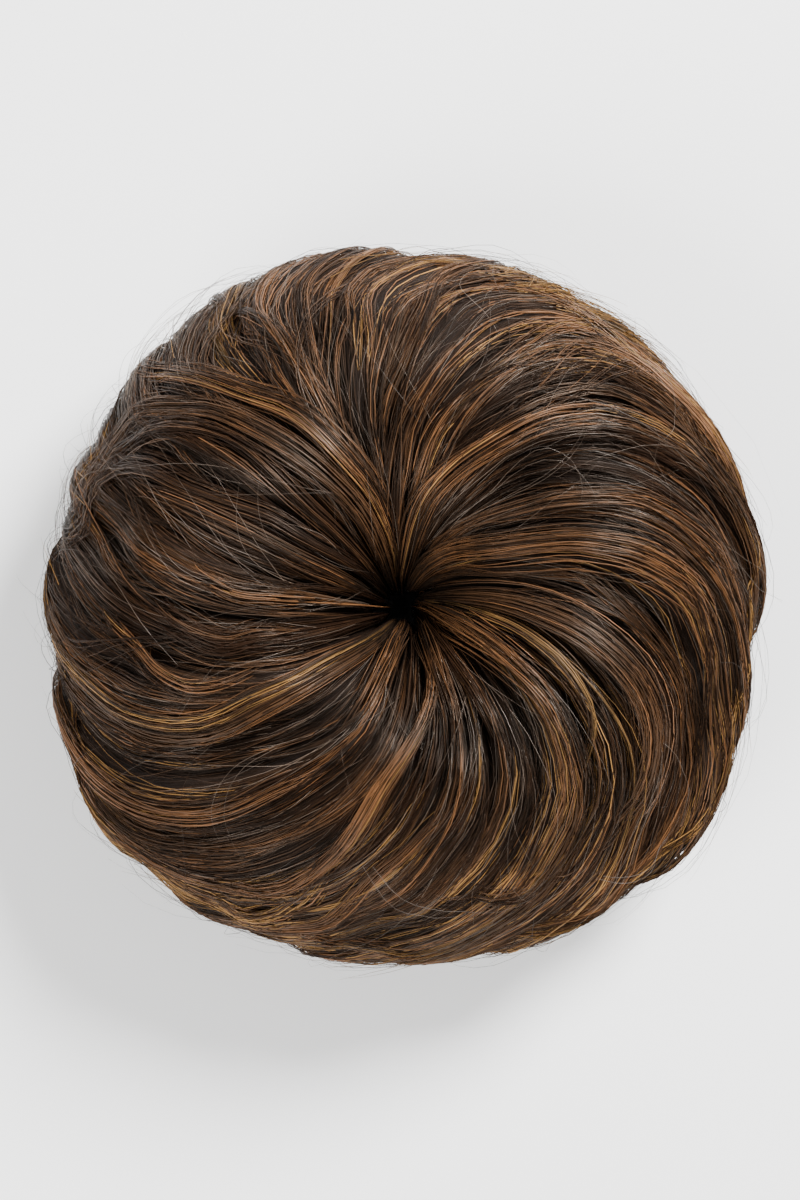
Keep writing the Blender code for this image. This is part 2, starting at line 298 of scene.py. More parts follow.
         ((240, 0.83), (233, 0.90), (224, 0.945), (214, 0.97), (204, 0.98))),
    Wisp("copper", 0.0050, 0.0018, 0.05,
         ((276, 0.80), (268, 0.86), (259, 0.91), (249, 0.95), (239, 0.97), (229, 0.98))),
    Wisp("golden", 0.0050, 0.0007, -0.05,
         ((330, 0.93), (322, 0.955), (313, 0.97), (303, 0.975), (293, 0.98), (283, 0.985))),
    Wisp("golden", 0.0040, 0.0006, -0.10,
         ((12, 0.94), (4, 0.965), (-6, 0.975), (-17, 0.98), (-28, 0.985))),
    Wisp("copper", 0.0050, 0.0008, 0.05,
         ((288, 0.90), (280, 0.93), (270, 0.95), (260, 0.965), (250, 0.97))),
    Wisp("golden", 0.0034, 0.0006, -0.10,
         ((108, 0.93), (103, 0.955), (97, 0.97), (88, 0.975), (78, 0.98))),
)

# Single hairs that stand out over the dark gaps or off the outline: how many lie together, their
# height over the locks in metres and their path
Hair = namedtuple("Hair", "count over path")
HAIRS = (
    Hair(2, 0.0042,
         ((71, 0.26), (61, 0.37), (54, 0.51), (46, 0.64), (39, 0.73), (33, 0.785), (26, 0.80),
          (21, 0.78), (16, 0.735))),
    Hair(2, 0.0036,
         ((65, 0.20), (52, 0.35), (48, 0.47), (43, 0.56), (34, 0.595), (26, 0.58), (20, 0.545))),
    Hair(2, 0.0032,
         ((58, 0.25), (47, 0.36), (39, 0.49), (37, 0.62), (38, 0.69))),
    Hair(2, 0.0030,
         ((56, 0.21), (44, 0.33), (35, 0.44), (30, 0.56), (24, 0.68))),
    Hair(2, 0.0030,
         ((82, 0.12), (77, 0.24), (76, 0.34))),
    Hair(2, 0.0026,
         ((164, 0.958), (160, 0.952), (156, 0.93), (153, 0.89))),
    Hair(2, 0.0030,
         ((146, 0.30), (145, 0.20), (128, 0.11))),
    Hair(2, 0.0034,
         ((181, 0.28), (179, 0.24), (165, 0.16), (140, 0.095))),
    Hair(2, 0.0028,
         ((305, 0.893), (308, 0.919), (312, 0.933), (316, 0.95))),
    Hair(2, 0.0030,
         ((250, 0.20), (262, 0.28), (274, 0.36), (286, 0.42))),
    Hair(2, 0.0030,
         ((228, 0.52), (224, 0.62), (226, 0.72), (232, 0.80))),
    Hair(2, 0.0028,
         ((120, 0.34), (132, 0.42), (140, 0.52), (143, 0.62))),
    Hair(2, 0.0028,
         ((172, 0.50), (168, 0.62), (160, 0.72), (155, 0.80))),
    Hair(9, 0.0036,
         ((143, 0.95), (138, 0.98), (132, 0.995), (125, 0.99), (119, 0.96))),
    Hair(7, 0.0028,
         ((131, 0.96), (127, 0.985), (122, 0.995), (116, 0.98))),
    Hair(5, 0.0024,
         ((172, 0.97), (166, 0.99), (158, 0.995), (151, 0.98))),
    Hair(2, 0.0030,
         ((84, 0.50), (92, 0.60), (98, 0.72), (101, 0.84))),
    Hair(2, 0.0030,
         ((20, 0.35), (12, 0.47), (8, 0.60), (9, 0.73))),
    Hair(2, 0.0028,
         ((208, 0.30), (201, 0.44), (199, 0.57), (203, 0.70))),
    Hair(2, 0.0028,
         ((300, 0.62), (292, 0.70), (288, 0.79), (289, 0.88))),
    Hair(2, 0.0030,
         ((165, 0.30), (158, 0.42), (147, 0.50), (135, 0.56))),
    Hair(2, 0.0030,
         ((262, 0.72), (270, 0.80), (281, 0.84), (291, 0.83))),
)

# Places on the rim where short ends stand out: the middle and half width in degrees, and how many
Fray = namedtuple("Fray", "angle half_width count")
FRAYS = (Fray(66, 10, 60), Fray(28, 8, 8), Fray(94, 7, 8), Fray(166, 16, 8), Fray(235, 12, 8),
         Fray(278, 10, 6), Fray(340, 10, 6))

# Places where the hair parts over a dark gap: the middle's angle and share of the radius, the half
# width in degrees, the half length as a share of the radius, and the gap's depth in metres, which
# also sets the painted shade that darkens the strands there
Gap = namedtuple("Gap", "angle reach half_width half_length depth")
GAPS = (
    Gap(46, 0.42, 9, 0.15, 0.0045), Gap(30, 0.56, 6, 0.14, 0.0025),
    Gap(5, 0.62, 5, 0.16, 0.0035), Gap(352, 0.74, 6, 0.12, 0.0040),
    Gap(342, 0.90, 8, 0.06, 0.0035), Gap(232, 0.44, 8, 0.13, 0.0040),
    Gap(247, 0.50, 6, 0.12, 0.0025), Gap(150, 0.52, 7, 0.14, 0.0028),
    Gap(140, 0.36, 5, 0.10, 0.0030), Gap(166, 0.86, 6, 0.08, 0.0028),
    Gap(192, 0.80, 5, 0.10, 0.0030), Gap(222, 0.60, 5, 0.08, 0.0025),
    Gap(330, 0.26, 6, 0.10, 0.0030), Gap(296, 0.36, 6, 0.10, 0.0030),
    Gap(302, 0.74, 9, 0.10, 0.0025), Gap(266, 0.92, 6, 0.05, 0.0025),
    Gap(121, 0.86, 2.0, 0.12, 0.0022), Gap(53, 0.70, 6, 0.05, 0.0022),
    Gap(318, 0.90, 7, 0.06, 0.0025), Gap(280, 0.68, 7, 0.08, 0.0022),
)

# The hair effect: its amount from shade to light, the roughness it gives, and how much broader
# its patches are than its streaks
AMOUNT_RANGE, ROUGHNESS_RANGE = (-0.2, 0.9), (0.62, 0.30)
PATCH_SCALE = 0.3

# Strands: how far a hidden end dives under the hair, and how high one may lie under the bun
DIVE, FLAT_HEIGHT = 0.0016, 0.00035

# The photo's wisps: points along a wisp's middle, how much the middle ones of its strands stand
# up, how far an end dives on the crown and under the rim, and the share of wide strands below
MIDDLE_POINTS, CROWNING = 241, 0.0009
CROWN_DIVE, RIM_DIVE = 0.0042, 0.0030
BACKING_SHARE, BACKING_DEPTH, BACKING_WIDTH = 0.36, 0.0004, 1.7


class HairShape(bpy.types.PropertyGroup):
    """The bun's form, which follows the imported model."""

    bun_radius: FloatProperty(
        name="Bun radius", description="From the hole's axis to the rim",
        default=0.0625, min=0.02, unit="LENGTH")
    bun_height: FloatProperty(
        name="Bun height", description="From the table to the crown",
        default=0.050, min=0.01, unit="LENGTH")
    lock_thickness: FloatProperty(
        name="Lock thickness", description="How far a full lock stands over the hair under it",
        default=0.0045, min=0.0005, unit="LENGTH")
    under_depth: FloatProperty(
        name="Packed hair depth", description="How far the packed hair lies under the locks' form",
        default=0.00035, min=0.0, unit="LENGTH")


class StrandShape(bpy.types.PropertyGroup):
    """How the strands are laid in wisps over the locks."""

    seed: IntProperty(
        name="Seed", description="Starts every random choice of the strands", default=17)
    wisp_width: FloatProperty(
        name="Wisp width", description="Width of one wisp of a lock, at the crown's middle",
        default=0.0019, min=0.0005, unit="LENGTH")
    wisp_strands: IntProperty(
        name="Strands in a wisp", description="How many strands one wisp has", default=14, min=1)
    loose_wisps: IntProperty(
        name="Loose wisps", description="Wisps that cross over the locks", default=120, min=0)
    loose_strands: IntProperty(
        name="Strands in a loose wisp", description="How many strands a crossing wisp has",
        default=7, min=1)
    main_spacing: FloatProperty(
        name="Main strand spacing", description="Distance between strands of the main wisps",
        default=0.00013, min=0.00005, unit="LENGTH")
    stray_share: FloatProperty(
        name="Stray strands", description="Share of the strands that leave their wisp",
        default=0.09, min=0.0, max=1.0)
    strand_points: IntProperty(
        name="Points of a strand", description="Points along a whole strand", default=24, min=6)
    short_points: IntProperty(
        name="Points of a short strand", description="Points along a strand that is partly hidden",
        default=16, min=6)
    side_wisps: FloatProperty(
        name="Side wisps", description="Wisps that come up on the bun's sides, for each whole wisp",
        default=0.75, min=0.0)
    strand_width: FloatProperty(
        name="Strand width", description="Width of a middling strand",
        default=0.00016, min=0.00005, unit="LENGTH")
    frizz: FloatProperty(
        name="Frizz", description="How far the hair wanders from its lock's line",
        default=0.0007, min=0.0, unit="LENGTH")
    flyaways: IntProperty(
        name="Fly-away hairs", description="Single fine hairs that stand off the bun",
        default=620, min=0)
    # The fine hairs are pale: partly their own colour, partly a painted highlight
    fine_hairs: IntProperty(
        name="Fine hairs", description="Fine pale hairs that lie over the wisps",
        default=420, min=0)


class HairColours(bpy.types.PropertyGroup):
    """The four colours of the mixed hair, and the elastic's."""

    dark: FloatVectorProperty(
        name="Dark hair", description="The darkest strands", subtype="COLOR", size=3,
        default=(0.0105, 0.0046, 0.0021), min=0.0, max=1.0)
    chestnut: FloatVectorProperty(
        name="Chestnut hair", description="The brown strands", subtype="COLOR", size=3,
        default=(0.0300, 0.0134, 0.0052), min=0.0, max=1.0)
    copper: FloatVectorProperty(
        name="Copper hair", description="The reddish strands", subtype="COLOR", size=3,
        default=(0.0870, 0.0366, 0.0126), min=0.0, max=1.0)
    golden: FloatVectorProperty(
        name="Golden hair", description="The lightest strands", subtype="COLOR", size=3,
        default=(0.1500, 0.0765, 0.0215), min=0.0, max=1.0)
    # Pale hair: partly the fine hairs' own lighter colour, partly a painted highlight where they
    # catch the light
    pale: FloatVectorProperty(
        name="Pale hair", description="The fine hairs that catch the light",
        subtype="COLOR", size=3, default=(0.066, 0.044, 0.029), min=0.0, max=1.0)
    elastic: FloatVectorProperty(
        name="Elastic", description="The knitted elastic", subtype="COLOR", size=3,
        default=(0.014, 0.012, 0.012), min=0.0, max=1.0)


class ElasticShape(bpy.types.PropertyGroup):
    """The elastic ring that the hair is gathered on."""

    ribs: IntProperty(
        name="Ribs", description="Knitted ribs round the ring", default=84, min=8)
    rib_height: FloatProperty(
        name="Rib height", description="How far a rib stands out", default=0.00022, min=0.0,
        unit="LENGTH")


class StageLook(bpy.types.PropertyGroup):
    """The pale floor, the soft light and the photo's framing."""

    photo_width: IntProperty(
        name="Photo width", description="Width of the photo in pixels", default=800)
    photo_height: IntProperty(
        name="Photo height", description="Height of the photo in pixels", default=1200)
    hole_x: FloatProperty(
        name="Hole x", description="Where the hole is in the photo, from its left", default=404.0)
    hole_y: FloatProperty(
        name="Hole y", description="Where the hole is in the photo, from its top", default=604.5)
    outline_pixels: FloatProperty(
        name="Outline radius", description="The outline's radius in the photo, in pixels",
        default=358.0)
    camera_distance: FloatProperty(
        name="Camera distance", description="From the rim's height to the camera", default=0.9,
        unit="LENGTH")
    floor_tone: FloatProperty(
        name="Floor tone", description="How pale the floor is", default=0.95, min=0.0, max=1.0)
    key_power: FloatProperty(
        name="Key light", description="Power of the soft light at the upper right", default=50.0,
        unit="POWER")
    fill_power: FloatProperty(
        name="Fill light", description="Power of the broad light at the lower left", default=21.0,
        unit="POWER")
    sky: FloatProperty(
        name="Room light", description="Strength of the light from all round",
        default=0.66, min=0.0)


def through(values, places):
    """Points at fractional places along a row of values, on a smooth curve through them."""
    values = np.asarray(values, float)
    last = len(values) - 1
    start = np.clip(places.astype(int), 0, last - 1)
    part = (places - start).reshape(places.shape + (1,) * (values.ndim - 1))
    before, low = values[np.maximum(start - 1, 0)], values[start]
    high, after = values[start + 1], values[np.minimum(start + 2, last)]
    bend = (2 * before - 5 * low + 4 * high - after) + part * (3 * low - before - 3 * high + after)
    return low + 0.5 * part * (high - before + part * bend)


def between(spots, entries):
    """The entry of a table before each spot, and how far the spot lies past it."""
    spots = np.clip(spots, 0, entries - 1.000001)
    low = spots.astype(int)
    return low, spots - low


def table_value(table, places, step):
    """Values between the entries of a table that has an entry at each step."""
    low, part = between(places / step, len(table))
    part = part.reshape(part.shape + (1,) * (table.ndim - 1))
    return table[low] * (1 - part) + table[low + 1] * part


def angle_from(middle, angle):
    """How far an angle lies from a middle one, in degrees from -180 to 180."""
    return (angle - middle + 180.0) % 360.0 - 180.0


class Swirl:
    """Places of the hair: along the sections, round the ring of locks, and over the locks' form."""

    STEP = 0.1
    EDGE_EASE = 0.14

    def __init__(self, shape):
        self.radius = shape.bun_radius
        self.height = shape.bun_height
        self.thickness = shape.lock_thickness
        last = len(SECTIONS) - 1
        along = np.arange(0.0, last + self.STEP / 2, self.STEP)
        reach = through([section.reach for section in SECTIONS], along) * self.radius
        height = through([section.height for section in SECTIONS], along) * self.height
        thickness = through([section.thickness for section in SECTIONS], along) * self.thickness
        run, rise = np.gradient(reach), np.gradient(height)
        length = np.hypot(run, rise)
        self.curve = np.stack((reach, height, run / length, rise / length, thickness), axis=1)
        self.angles = self.flow_table(along)
        weights = np.array([section.points for section in SECTIONS[:-1]])
        self.travel = np.concatenate(([0.0], np.cumsum(weights)))
        self.lifts = np.array([lock.lift for lock in LOCKS])

    def flow_table(self, along):
        """The swirl's angle by place round the locks and place along the sections."""
        rows = []
        for lock in LOCKS:
            throat = lock.lip + THROAT_TWIST
            hollow = throat + HOLLOW_TWIST
            tuck = 0.5 * (lock.rim + lock.under)
            foot = lock.under - FOOT_TWIST
            rows.append((hollow + ROOT_TWIST, hollow, throat, lock.lip, lock.crown, lock.mid,
                         lock.shoulder, lock.brow, lock.rim, tuck, lock.under, foot,
                         foot - GATHER_TWIST))
        edges = np.array(rows, float)
        ring = np.vstack((edges[-1:] - 360.0, edges, edges[:2] + 360.0))
        around = np.arange(0.0, len(LOCKS) + self.STEP / 2, self.STEP)
        by_lock = through(ring, around + 1.0)
        return through(by_lock.T, along).T

    def angle(self, lock_place, place):
        """The swirl's angle in degrees, on a grid of both places."""
        count = len(LOCKS)
        turns = np.floor(lock_place / count)
        spots = (lock_place - turns * count) / self.STEP
        row = np.clip(spots.astype(int), 0, self.angles.shape[0] - 2)
        across = spots - row
        column, down = between(place / self.STEP, self.angles.shape[1])
        low = self.angles[row, column] * (1 - across) + self.angles[row + 1, column] * across
        high = (self.angles[row, column + 1] * (1 - across)
                + self.angles[row + 1, column + 1] * across)
        return low * (1 - down) + high * down + 360.0 * turns

    def lift(self, lock_place):
        """The lock's lift, eased across the edges between locks."""
        own = np.floor(lock_place)
        part = lock_place - own
        neighbour = np.where(part < 0.5, own - 1, own + 1)
        away = np.minimum(part, 1 - part)
        blend = 0.5 * np.clip(1 - away / self.EDGE_EASE, 0, 1)
        count = len(LOCKS)
        here = self.lifts[own.astype(int) % count]
        there = self.lifts[neighbour.astype(int) % count]
        return here * (1 - blend) + there * blend

    def swell(self, angle):
        """How far the outline swells at an angle in degrees, as a share of the reach."""
        share = np.zeros_like(angle)
        for swell in SWELLS:
            away = np.abs(angle_from(swell.middle, angle))
            hump = 0.5 * (1 + np.cos(pi * np.minimum(away / swell.half_width, 1.0)))
            share += swell.share * hump
        return share

    def sink(self, angle, reach):
        """How deep the gaps are at an angle in degrees and a reach in metres."""
        depth = np.zeros_like(angle)
        for gap in GAPS:
            away = angle_from(gap.angle, angle) / gap.half_width
            along = (reach / self.radius - gap.reach) / gap.half_length
            depth += gap.depth * np.exp(-away * away - along * along)
        return depth

    def points(self, lock_place, place, over, bridge=0.0, gaps=0.0):
        """Points over the locks' form. Bridge is how far the hair spans the valleys between locks,
        and gaps how far it sinks into the gaps."""
        curve = table_value(self.curve, place, self.STEP)
        reach, height, run, rise, thickness = np.moveaxis(curve, -1, 0)
        angle = self.angle(lock_place, place)
        across = 2 * (lock_place - np.floor(lock_place)) - 1
        valley = VALLEY + (VALLEY_AT_RIM - VALLEY) * near_rim(place)
        dome = 1 - valley * (1 - bridge) * across * across
        depth = thickness * (1 - self.lift(lock_place) * dome) - over
        depth = depth + gaps * self.sink(angle, reach) * (place < PLACE["rim"])
        radius = reach + depth * rise
        height = height - depth * run
        radius = radius * (1 + self.swell(angle) * np.minimum(radius / self.radius, 1.0) ** 2)
        turn = np.radians(angle)
        return np.stack((radius * np.cos(turn), radius * np.sin(turn), height), axis=-1)

    def outward(self, lock_place, place):
        """The direction out of the hair, away from its middle."""
        curve = table_value(self.curve, place, self.STEP)
        turn = np.radians(self.angle(lock_place, place))
        rise, run = curve[..., 3], curve[..., 2]
        return np.stack((-rise * np.cos(turn), -rise * np.sin(turn), run), axis=-1)

    def place_of(self, angle, share):
        """The lock place and the place of a point at an angle and a reach share from above."""
        places = np.arange(PLACE["throat"], PLACE["rim"] + 0.01, 0.05)
        reach = table_value(self.curve, places, self.STEP)[:, 0]
        reach = reach * (1 + self.swell(np.full(len(places), float(angle)))
                         * (reach / self.radius) ** 2)
        swell = self.swell(np.array([float(angle)]))[0]
        wanted = share * self.radius * (1 + swell * share ** 2)
        place = float(np.interp(wanted, reach, places))
        rows = np.arange(-12.0, 36.0, 0.05)
        angles = self.angle(rows, np.full(len(rows), place))
        return float(np.interp(angle, angles, rows)), place

    def strand_places(self, start, end, count):
        """Places along each strand from start to end, closer together where the hair bends."""
        sections = np.arange(len(self.travel))
        first = np.interp(start, sections, self.travel)
        last = np.interp(end, sections, self.travel)
        share = np.linspace(0.0, 1.0, count)
        travel = first[:, None] + (last - first)[:, None] * share[None, :]
        return np.interp(travel, self.travel, sections)


def smooth_step(value):
    """An eased step from 0 to 1."""
    eased = np.clip(value, 0.0, 1.0)
    return eased * eased * (3 - 2 * eased)


def near_rim(place):
    """How near a place is to the rim, from 0 on the crown to 1 at the rim and under it."""
    return smooth_step((place - PLACE["mid"]) / 2.6)


def node(tree, kind, **values):
    """A node of the tree, with its properties or named inputs set."""
    made = tree.nodes.new(kind)
    for name, value in values.items():
        if hasattr(made, name):
            setattr(made, name, value)
        else:
            made.inputs[name.replace("_", " ")].default_value = value
    return made


def math_node(tree, operation, second=None):
    """A node that calculates with its values, with the second one set if it is given."""
    made = node(tree, "ShaderNodeMath", operation=operation)
    if second is not None:
        made.inputs[1].default_value = second
    return made


def wire(tree, *wires):
    """Links outputs to inputs, each given as a node, its output, another node and its input."""
    for source, output, target, entry in wires:
        tree.links.new(source.outputs[output], target.inputs[entry])


def fibre_group():
    """The shared hair effect: fine streaks and broad patches, as a colour and a gloss."""
    name = "hair_fibre"
    if name in bpy.data.node_groups:
        return bpy.data.node_groups[name]
    group = bpy.data.node_groups.new(name, "ShaderNodeTree")
    for label, kind in (("Shade", "Color"), ("Light", "Color"), ("Tone", "Float"),
                        ("Vector", "Vector"), ("Scale", "Float"), ("Variation", "Float"),
                        ("Patches", "Float")):
        group.interface.new_socket(name=label, in_out="INPUT", socket_type="NodeSocket" + kind)
    for label, kind in (("Colour", "Color"), ("Roughness", "Float")):
        group.interface.new_socket(name=label, in_out="OUTPUT", socket_type="NodeSocket" + kind)
    entry = node(group, "NodeGroupInput")
    out = node(group, "NodeGroupOutput")
    streaks = node(group, "ShaderNodeTexNoise", Detail=3.0, Roughness=0.6)
    streak_level = math_node(group, "SUBTRACT", 0.5)
    patch_scale = math_node(group, "MULTIPLY", PATCH_SCALE)
    broad = node(group, "ShaderNodeTexNoise", Detail=2.0, Roughness=0.5)
    patch_level = math_node(group, "SUBTRACT", 0.5)
    patches = math_node(group, "MULTIPLY_ADD")
    amount = math_node(group, "MULTIPLY_ADD")
    mix = node(group, "ShaderNodeMix", data_type="RGBA")
    gloss = node(group, "ShaderNodeMapRange", From_Min=AMOUNT_RANGE[0], From_Max=AMOUNT_RANGE[1],
                 To_Min=ROUGHNESS_RANGE[0], To_Max=ROUGHNESS_RANGE[1])
    wire(group,
         (entry, "Vector", streaks, "Vector"),
         (entry, "Scale", streaks, "Scale"),
         (streaks, "Fac", streak_level, 0),
         (entry, "Scale", patch_scale, 0),
         (entry, "Vector", broad, "Vector"),
         (patch_scale, 0, broad, "Scale"),
         (broad, "Fac", patch_level, 0),
         (patch_level, 0, patches, 0),
         (entry, "Patches", patches, 1),
         (entry, "Tone", patches, 2),
         (streak_level, 0, amount, 0),
         (entry, "Variation", amount, 1),
         (patches, 0, amount, 2),
         (amount, 0, mix, "Factor"),
         (entry, "Shade", mix, "A"),
         (entry, "Light", mix, "B"),
         (mix, "Result", out, "Colour"),
         (amount, 0, gloss, "Value"),
         (gloss, "Result", out, "Roughness"))
    return group


def colour_pair(colour, down, up, grey=0.0):
    """A darker and a lighter colour round one colour, the lighter one greyer as a painted
    highlight, with full alpha.
    """
    level = grey * sum(colour) / 3
    shade = tuple(channel * down for channel in colour) + (1.0,)
    light = tuple(min((channel * (1 - grey) + level) * up, 1.0) for channel in colour) + (1.0,)
    return shade, light


def strand_material(colour_name):
    """One hair colour. Each strand carries its own tone, and noise varies it along the strand."""
    colour = getattr(settings().colours, colour_name)
    material = bpy.data.materials.new(colour_name + "_strands")
    material.use_nodes = True
    tree = material.node_tree
    shader = tree.nodes["Principled BSDF"]
    look = LOOKS[colour_name]
    shader.inputs["Specular IOR Level"].default_value = look.gloss
    shader.inputs["Specular Tint"].default_value = look.tint + (1.0,)
    tone = node(tree, "ShaderNodeAttribute", attribute_name="tone")
    place = node(tree, "ShaderNodeTexCoord")
    shade, light = colour_pair(colour, 0.25, 2.0, look.grey)
    fibre = node(tree, "ShaderNodeGroup", node_tree=fibre_group(), Shade=shade, Light=light,
                 Scale=260.0, Variation=0.6, Patches=1.5)
    wire(tree, (tone, "Fac", fibre, "Tone"), (place, "Object", fibre, "Vector"),
         (fibre, "Colour", shader, "Base Color"), (fibre, "Roughness", shader, "Roughness"))
    material.diffuse_color = tuple(colour) + (1.0,)
    return material


def packed_material(name, dark, light):
    """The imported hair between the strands: dark, with streaks along the flow."""
    material = bpy.data.materials.new(name)
    material.use_nodes = True
    tree = material.node_tree
    shader = tree.nodes["Principled BSDF"]
    shader.inputs["Specular IOR Level"].default_value = 0.15
    shader.inputs["Roughness"].default_value = 0.62
    flow = node(tree, "ShaderNodeUVMap", uv_map="flow")
    stretch = node(tree, "ShaderNodeMapping", Scale=(60.0, 1.1, 1.0))
    fibre = node(tree, "ShaderNodeGroup", node_tree=fibre_group(),
                 Shade=colour_pair(dark, 0.35, 1.0)[0], Light=colour_pair(light, 1.0, 0.9)[1],
                 Scale=1.0, Tone=0.3, Variation=1.6)
    streaks = node(tree, "ShaderNodeTexNoise", Scale=1.0, Detail=4.0, Roughness=0.7)
    bump = node(tree, "ShaderNodeBump", Strength=0.9, Distance=0.0006)
    wire(tree, (flow, "UV", stretch, "Vector"), (stretch, "Vector", fibre, "Vector"),
         (stretch, "Vector", streaks, "Vector"), (streaks, "Fac", bump, "Height"),
         (fibre, "Colour", shader, "Base Color"), (bump, "Normal", shader, "Normal"))
    return material


def add_piece(name, mesh):
    """Puts a finished mesh in the scene, on the one body."""
    piece = bpy.data.objects.new(name, mesh)
    bpy.context.scene.collection.objects.link(piece)
    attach(piece, "root")
    return piece


def strand_tree(material):
    """Geometry Nodes that turn lines with a radius and a frizz into thin closed tubes."""
    tree = bpy.data.node_groups.new("strands_" + material.name, "GeometryNodeTree")
    face = tree.interface
    face.new_socket(name="Geometry", in_out="INPUT", socket_type="NodeSocketGeometry")
    sockets = {}
    for label, kind in (("Sides", "Int"), ("Frizz", "Float"), ("Wave Scale", "Float"),
                        ("Seed", "Float")):
        socket = face.new_socket(name=label, in_out="INPUT", socket_type="NodeSocket" + kind)
        sockets[label] = socket.identifier
    face.new_socket(name="Geometry", in_out="OUTPUT", socket_type="NodeSocketGeometry")
    entry = node(tree, "NodeGroupInput")
    to_curve = node(tree, "GeometryNodeMeshToCurve")
    noise = node(tree, "ShaderNodeTexNoise", noise_dimensions="4D", Detail=2.0)
    centred = node(tree, "ShaderNodeVectorMath", operation="SUBTRACT")
    centred.inputs[1].default_value = (0.5, 0.5, 0.5)
    own_frizz = node(tree, "GeometryNodeInputNamedAttribute", data_type="FLOAT", Name="frizz")
    amount = math_node(tree, "MULTIPLY")
    offset = node(tree, "ShaderNodeVectorMath", operation="SCALE")
    wander = node(tree, "GeometryNodeSetPosition")
    width = node(tree, "GeometryNodeInputNamedAttribute", data_type="FLOAT", Name="radius")
    thicken = node(tree, "GeometryNodeSetCurveRadius")
    ring = node(tree, "GeometryNodeCurvePrimitiveCircle", Radius=1.0)
    sweep = node(tree, "GeometryNodeCurveToMesh", Fill_Caps=True)
    shade = node(tree, "GeometryNodeSetShadeSmooth")
    realize = node(tree, "GeometryNodeRealizeInstances")
    paint = node(tree, "GeometryNodeSetMaterial", Material=material)
    out = node(tree, "NodeGroupOutput")
    wire(tree,
         (entry, "Geometry", to_curve, 0),
         (entry, "Wave Scale", noise, "Scale"),
         (entry, "Seed", noise, "W"),
         (noise, "Color", centred, 0),
         (own_frizz, 0, amount, 0),
         (entry, "Frizz", amount, 1),
         (centred, 0, offset, 0),
         (amount, 0, offset, "Scale"),
         (to_curve, 0, wander, "Geometry"),
         (offset, 0, wander, "Offset"),
         (wander, "Geometry", thicken, "Curve"),
         (width, 0, thicken, "Radius"),
         (entry, "Sides", ring, "Resolution"),
         (thicken, "Curve", sweep, "Curve"),
         (ring, "Curve", sweep, "Profile Curve"),
         (sweep, "Mesh", shade, "Geometry"),
         (shade, "Geometry", realize, "Geometry"),
         (realize, "Geometry", paint, "Geometry"),
         (paint, "Geometry", out, "Geometry"))
    if "Scale" in sweep.inputs:
        wire(tree, (width, 0, sweep, "Scale"))
    return tree, sockets


def sweep_lines(name, points, attributes, material, shape):
    """Tubes along lines: an array of strands by points by 3, with values at each point."""
    strands, count = points.shape[:2]
    first = np.arange(strands)[:, None] * count
    starts = (first + np.arange(count - 1)[None, :]).ravel()
    edges = np.stack((starts, starts + 1), axis=1)
    lines = bpy.data.meshes.new(name + "_lines")
    lines.vertices.add(strands * count)
    lines.vertices.foreach_set("co", points.astype(np.float32).ravel())
    lines.edges.add(len(edges))
    lines.edges.foreach_set("vertices", edges.astype(np.int32).ravel())
    for label, values in attributes.items():
        layer = lines.attributes.new(label, "FLOAT", "POINT")
        spread = np.broadcast_to(values, (strands, count)).astype(np.float32)
        layer.data.foreach_set("value", spread.ravel())
    guide = bpy.data.objects.new(name + "_lines", lines)
    bpy.context.scene.collection.objects.link(guide)
    tree, sockets = strand_tree(material)
    modifier = guide.modifiers.new("strands", "NODES")
    modifier.node_group = tree
    for label, value in (("Sides", 3), ("Frizz", shape.frizz), ("Wave Scale", 70.0),
                         ("Seed", float(shape.seed))):
        modifier[sockets[label]] = value
    evaluated = guide.evaluated_get(bpy.context.evaluated_depsgraph_get())
    mesh = bpy.data.meshes.new_from_object(evaluated)
    mesh.name = name
    bpy.data.objects.remove(guide, do_unlink=True)
    bpy.data.meshes.remove(lines)
    return mesh


def lock_widths(swirl):
    """Each lock's width at the crown's middle, in metres."""
    edges = np.arange(len(LOCKS) + 1, dtype=float)
    angles = swirl.angle(edges, np.full(len(edges), PLACE["mid"]))
    reach = swirl.radius * SECTIONS[int(PLACE["mid"])].reach
    return np.radians(np.diff(angles)) * reach


def pick_colours(random, mix, count):
    """The numbers of as many hair colours as are wanted, picked by their shares."""
    shares = np.array(mix) / sum(mix)
    return random.choice(len(COLOURS), size=count, p=shares)


def plan_lock_wisps(swirl, shape, random):
    """The wisps that fill the locks side by side, as a list of dictionaries of their values."""
    wisps = []
    for number, (lock, width) in enumerate(zip(LOCKS, lock_widths(swirl))):
        count = max(4, int(round(width / shape.wisp_width)))
        for spot in range(count):
            centre = number + (spot + 0.5 + random.uniform(-0.25, 0.25)) / count
            at_throat = float(swirl.angle(np.array(centre), np.array(PLACE["throat"])))
            beside = np.cos(radians(at_throat))
            way_in = random.choice(("root", "throat", "deep"), p=(0.22, 0.38, 0.40))
            start = {"root": 0.0, "throat": 1.8 + random.uniform(0.0, 0.2),
                     "deep": random.uniform(2.4, 3.6)}[way_in]
            ends_inside = random.random() < 0.52
            end = PLACE["gather"] if ends_inside else random.uniform(9.6, 10.6)
            colour = int(pick_colours(random, LOCK_MIXES[lock.colour], 1)[0])
            wisps.append({
                "start_lock": centre + random.normal(0, 0.08),
                "end_lock": centre + random.normal(0, 0.22),
                "half_width": 0.5 / count * random.uniform(0.9, 2.0),
                "over": random.uniform(0.0, 0.0012),
                "neck": min(0.0003 + 0.0008 * beside ** 2 + random.gamma(1.5, 0.0004),
                            0.0022),
                "start": start, "end": end,
                "bridge": 0.0, "gaps": 1.0,
                "strands": shape.wisp_strands, "colour": colour,
                "tone": random.normal(0.0, 0.24), "frizz": random.uniform(0.6, 1.6),
            })
    return wisps


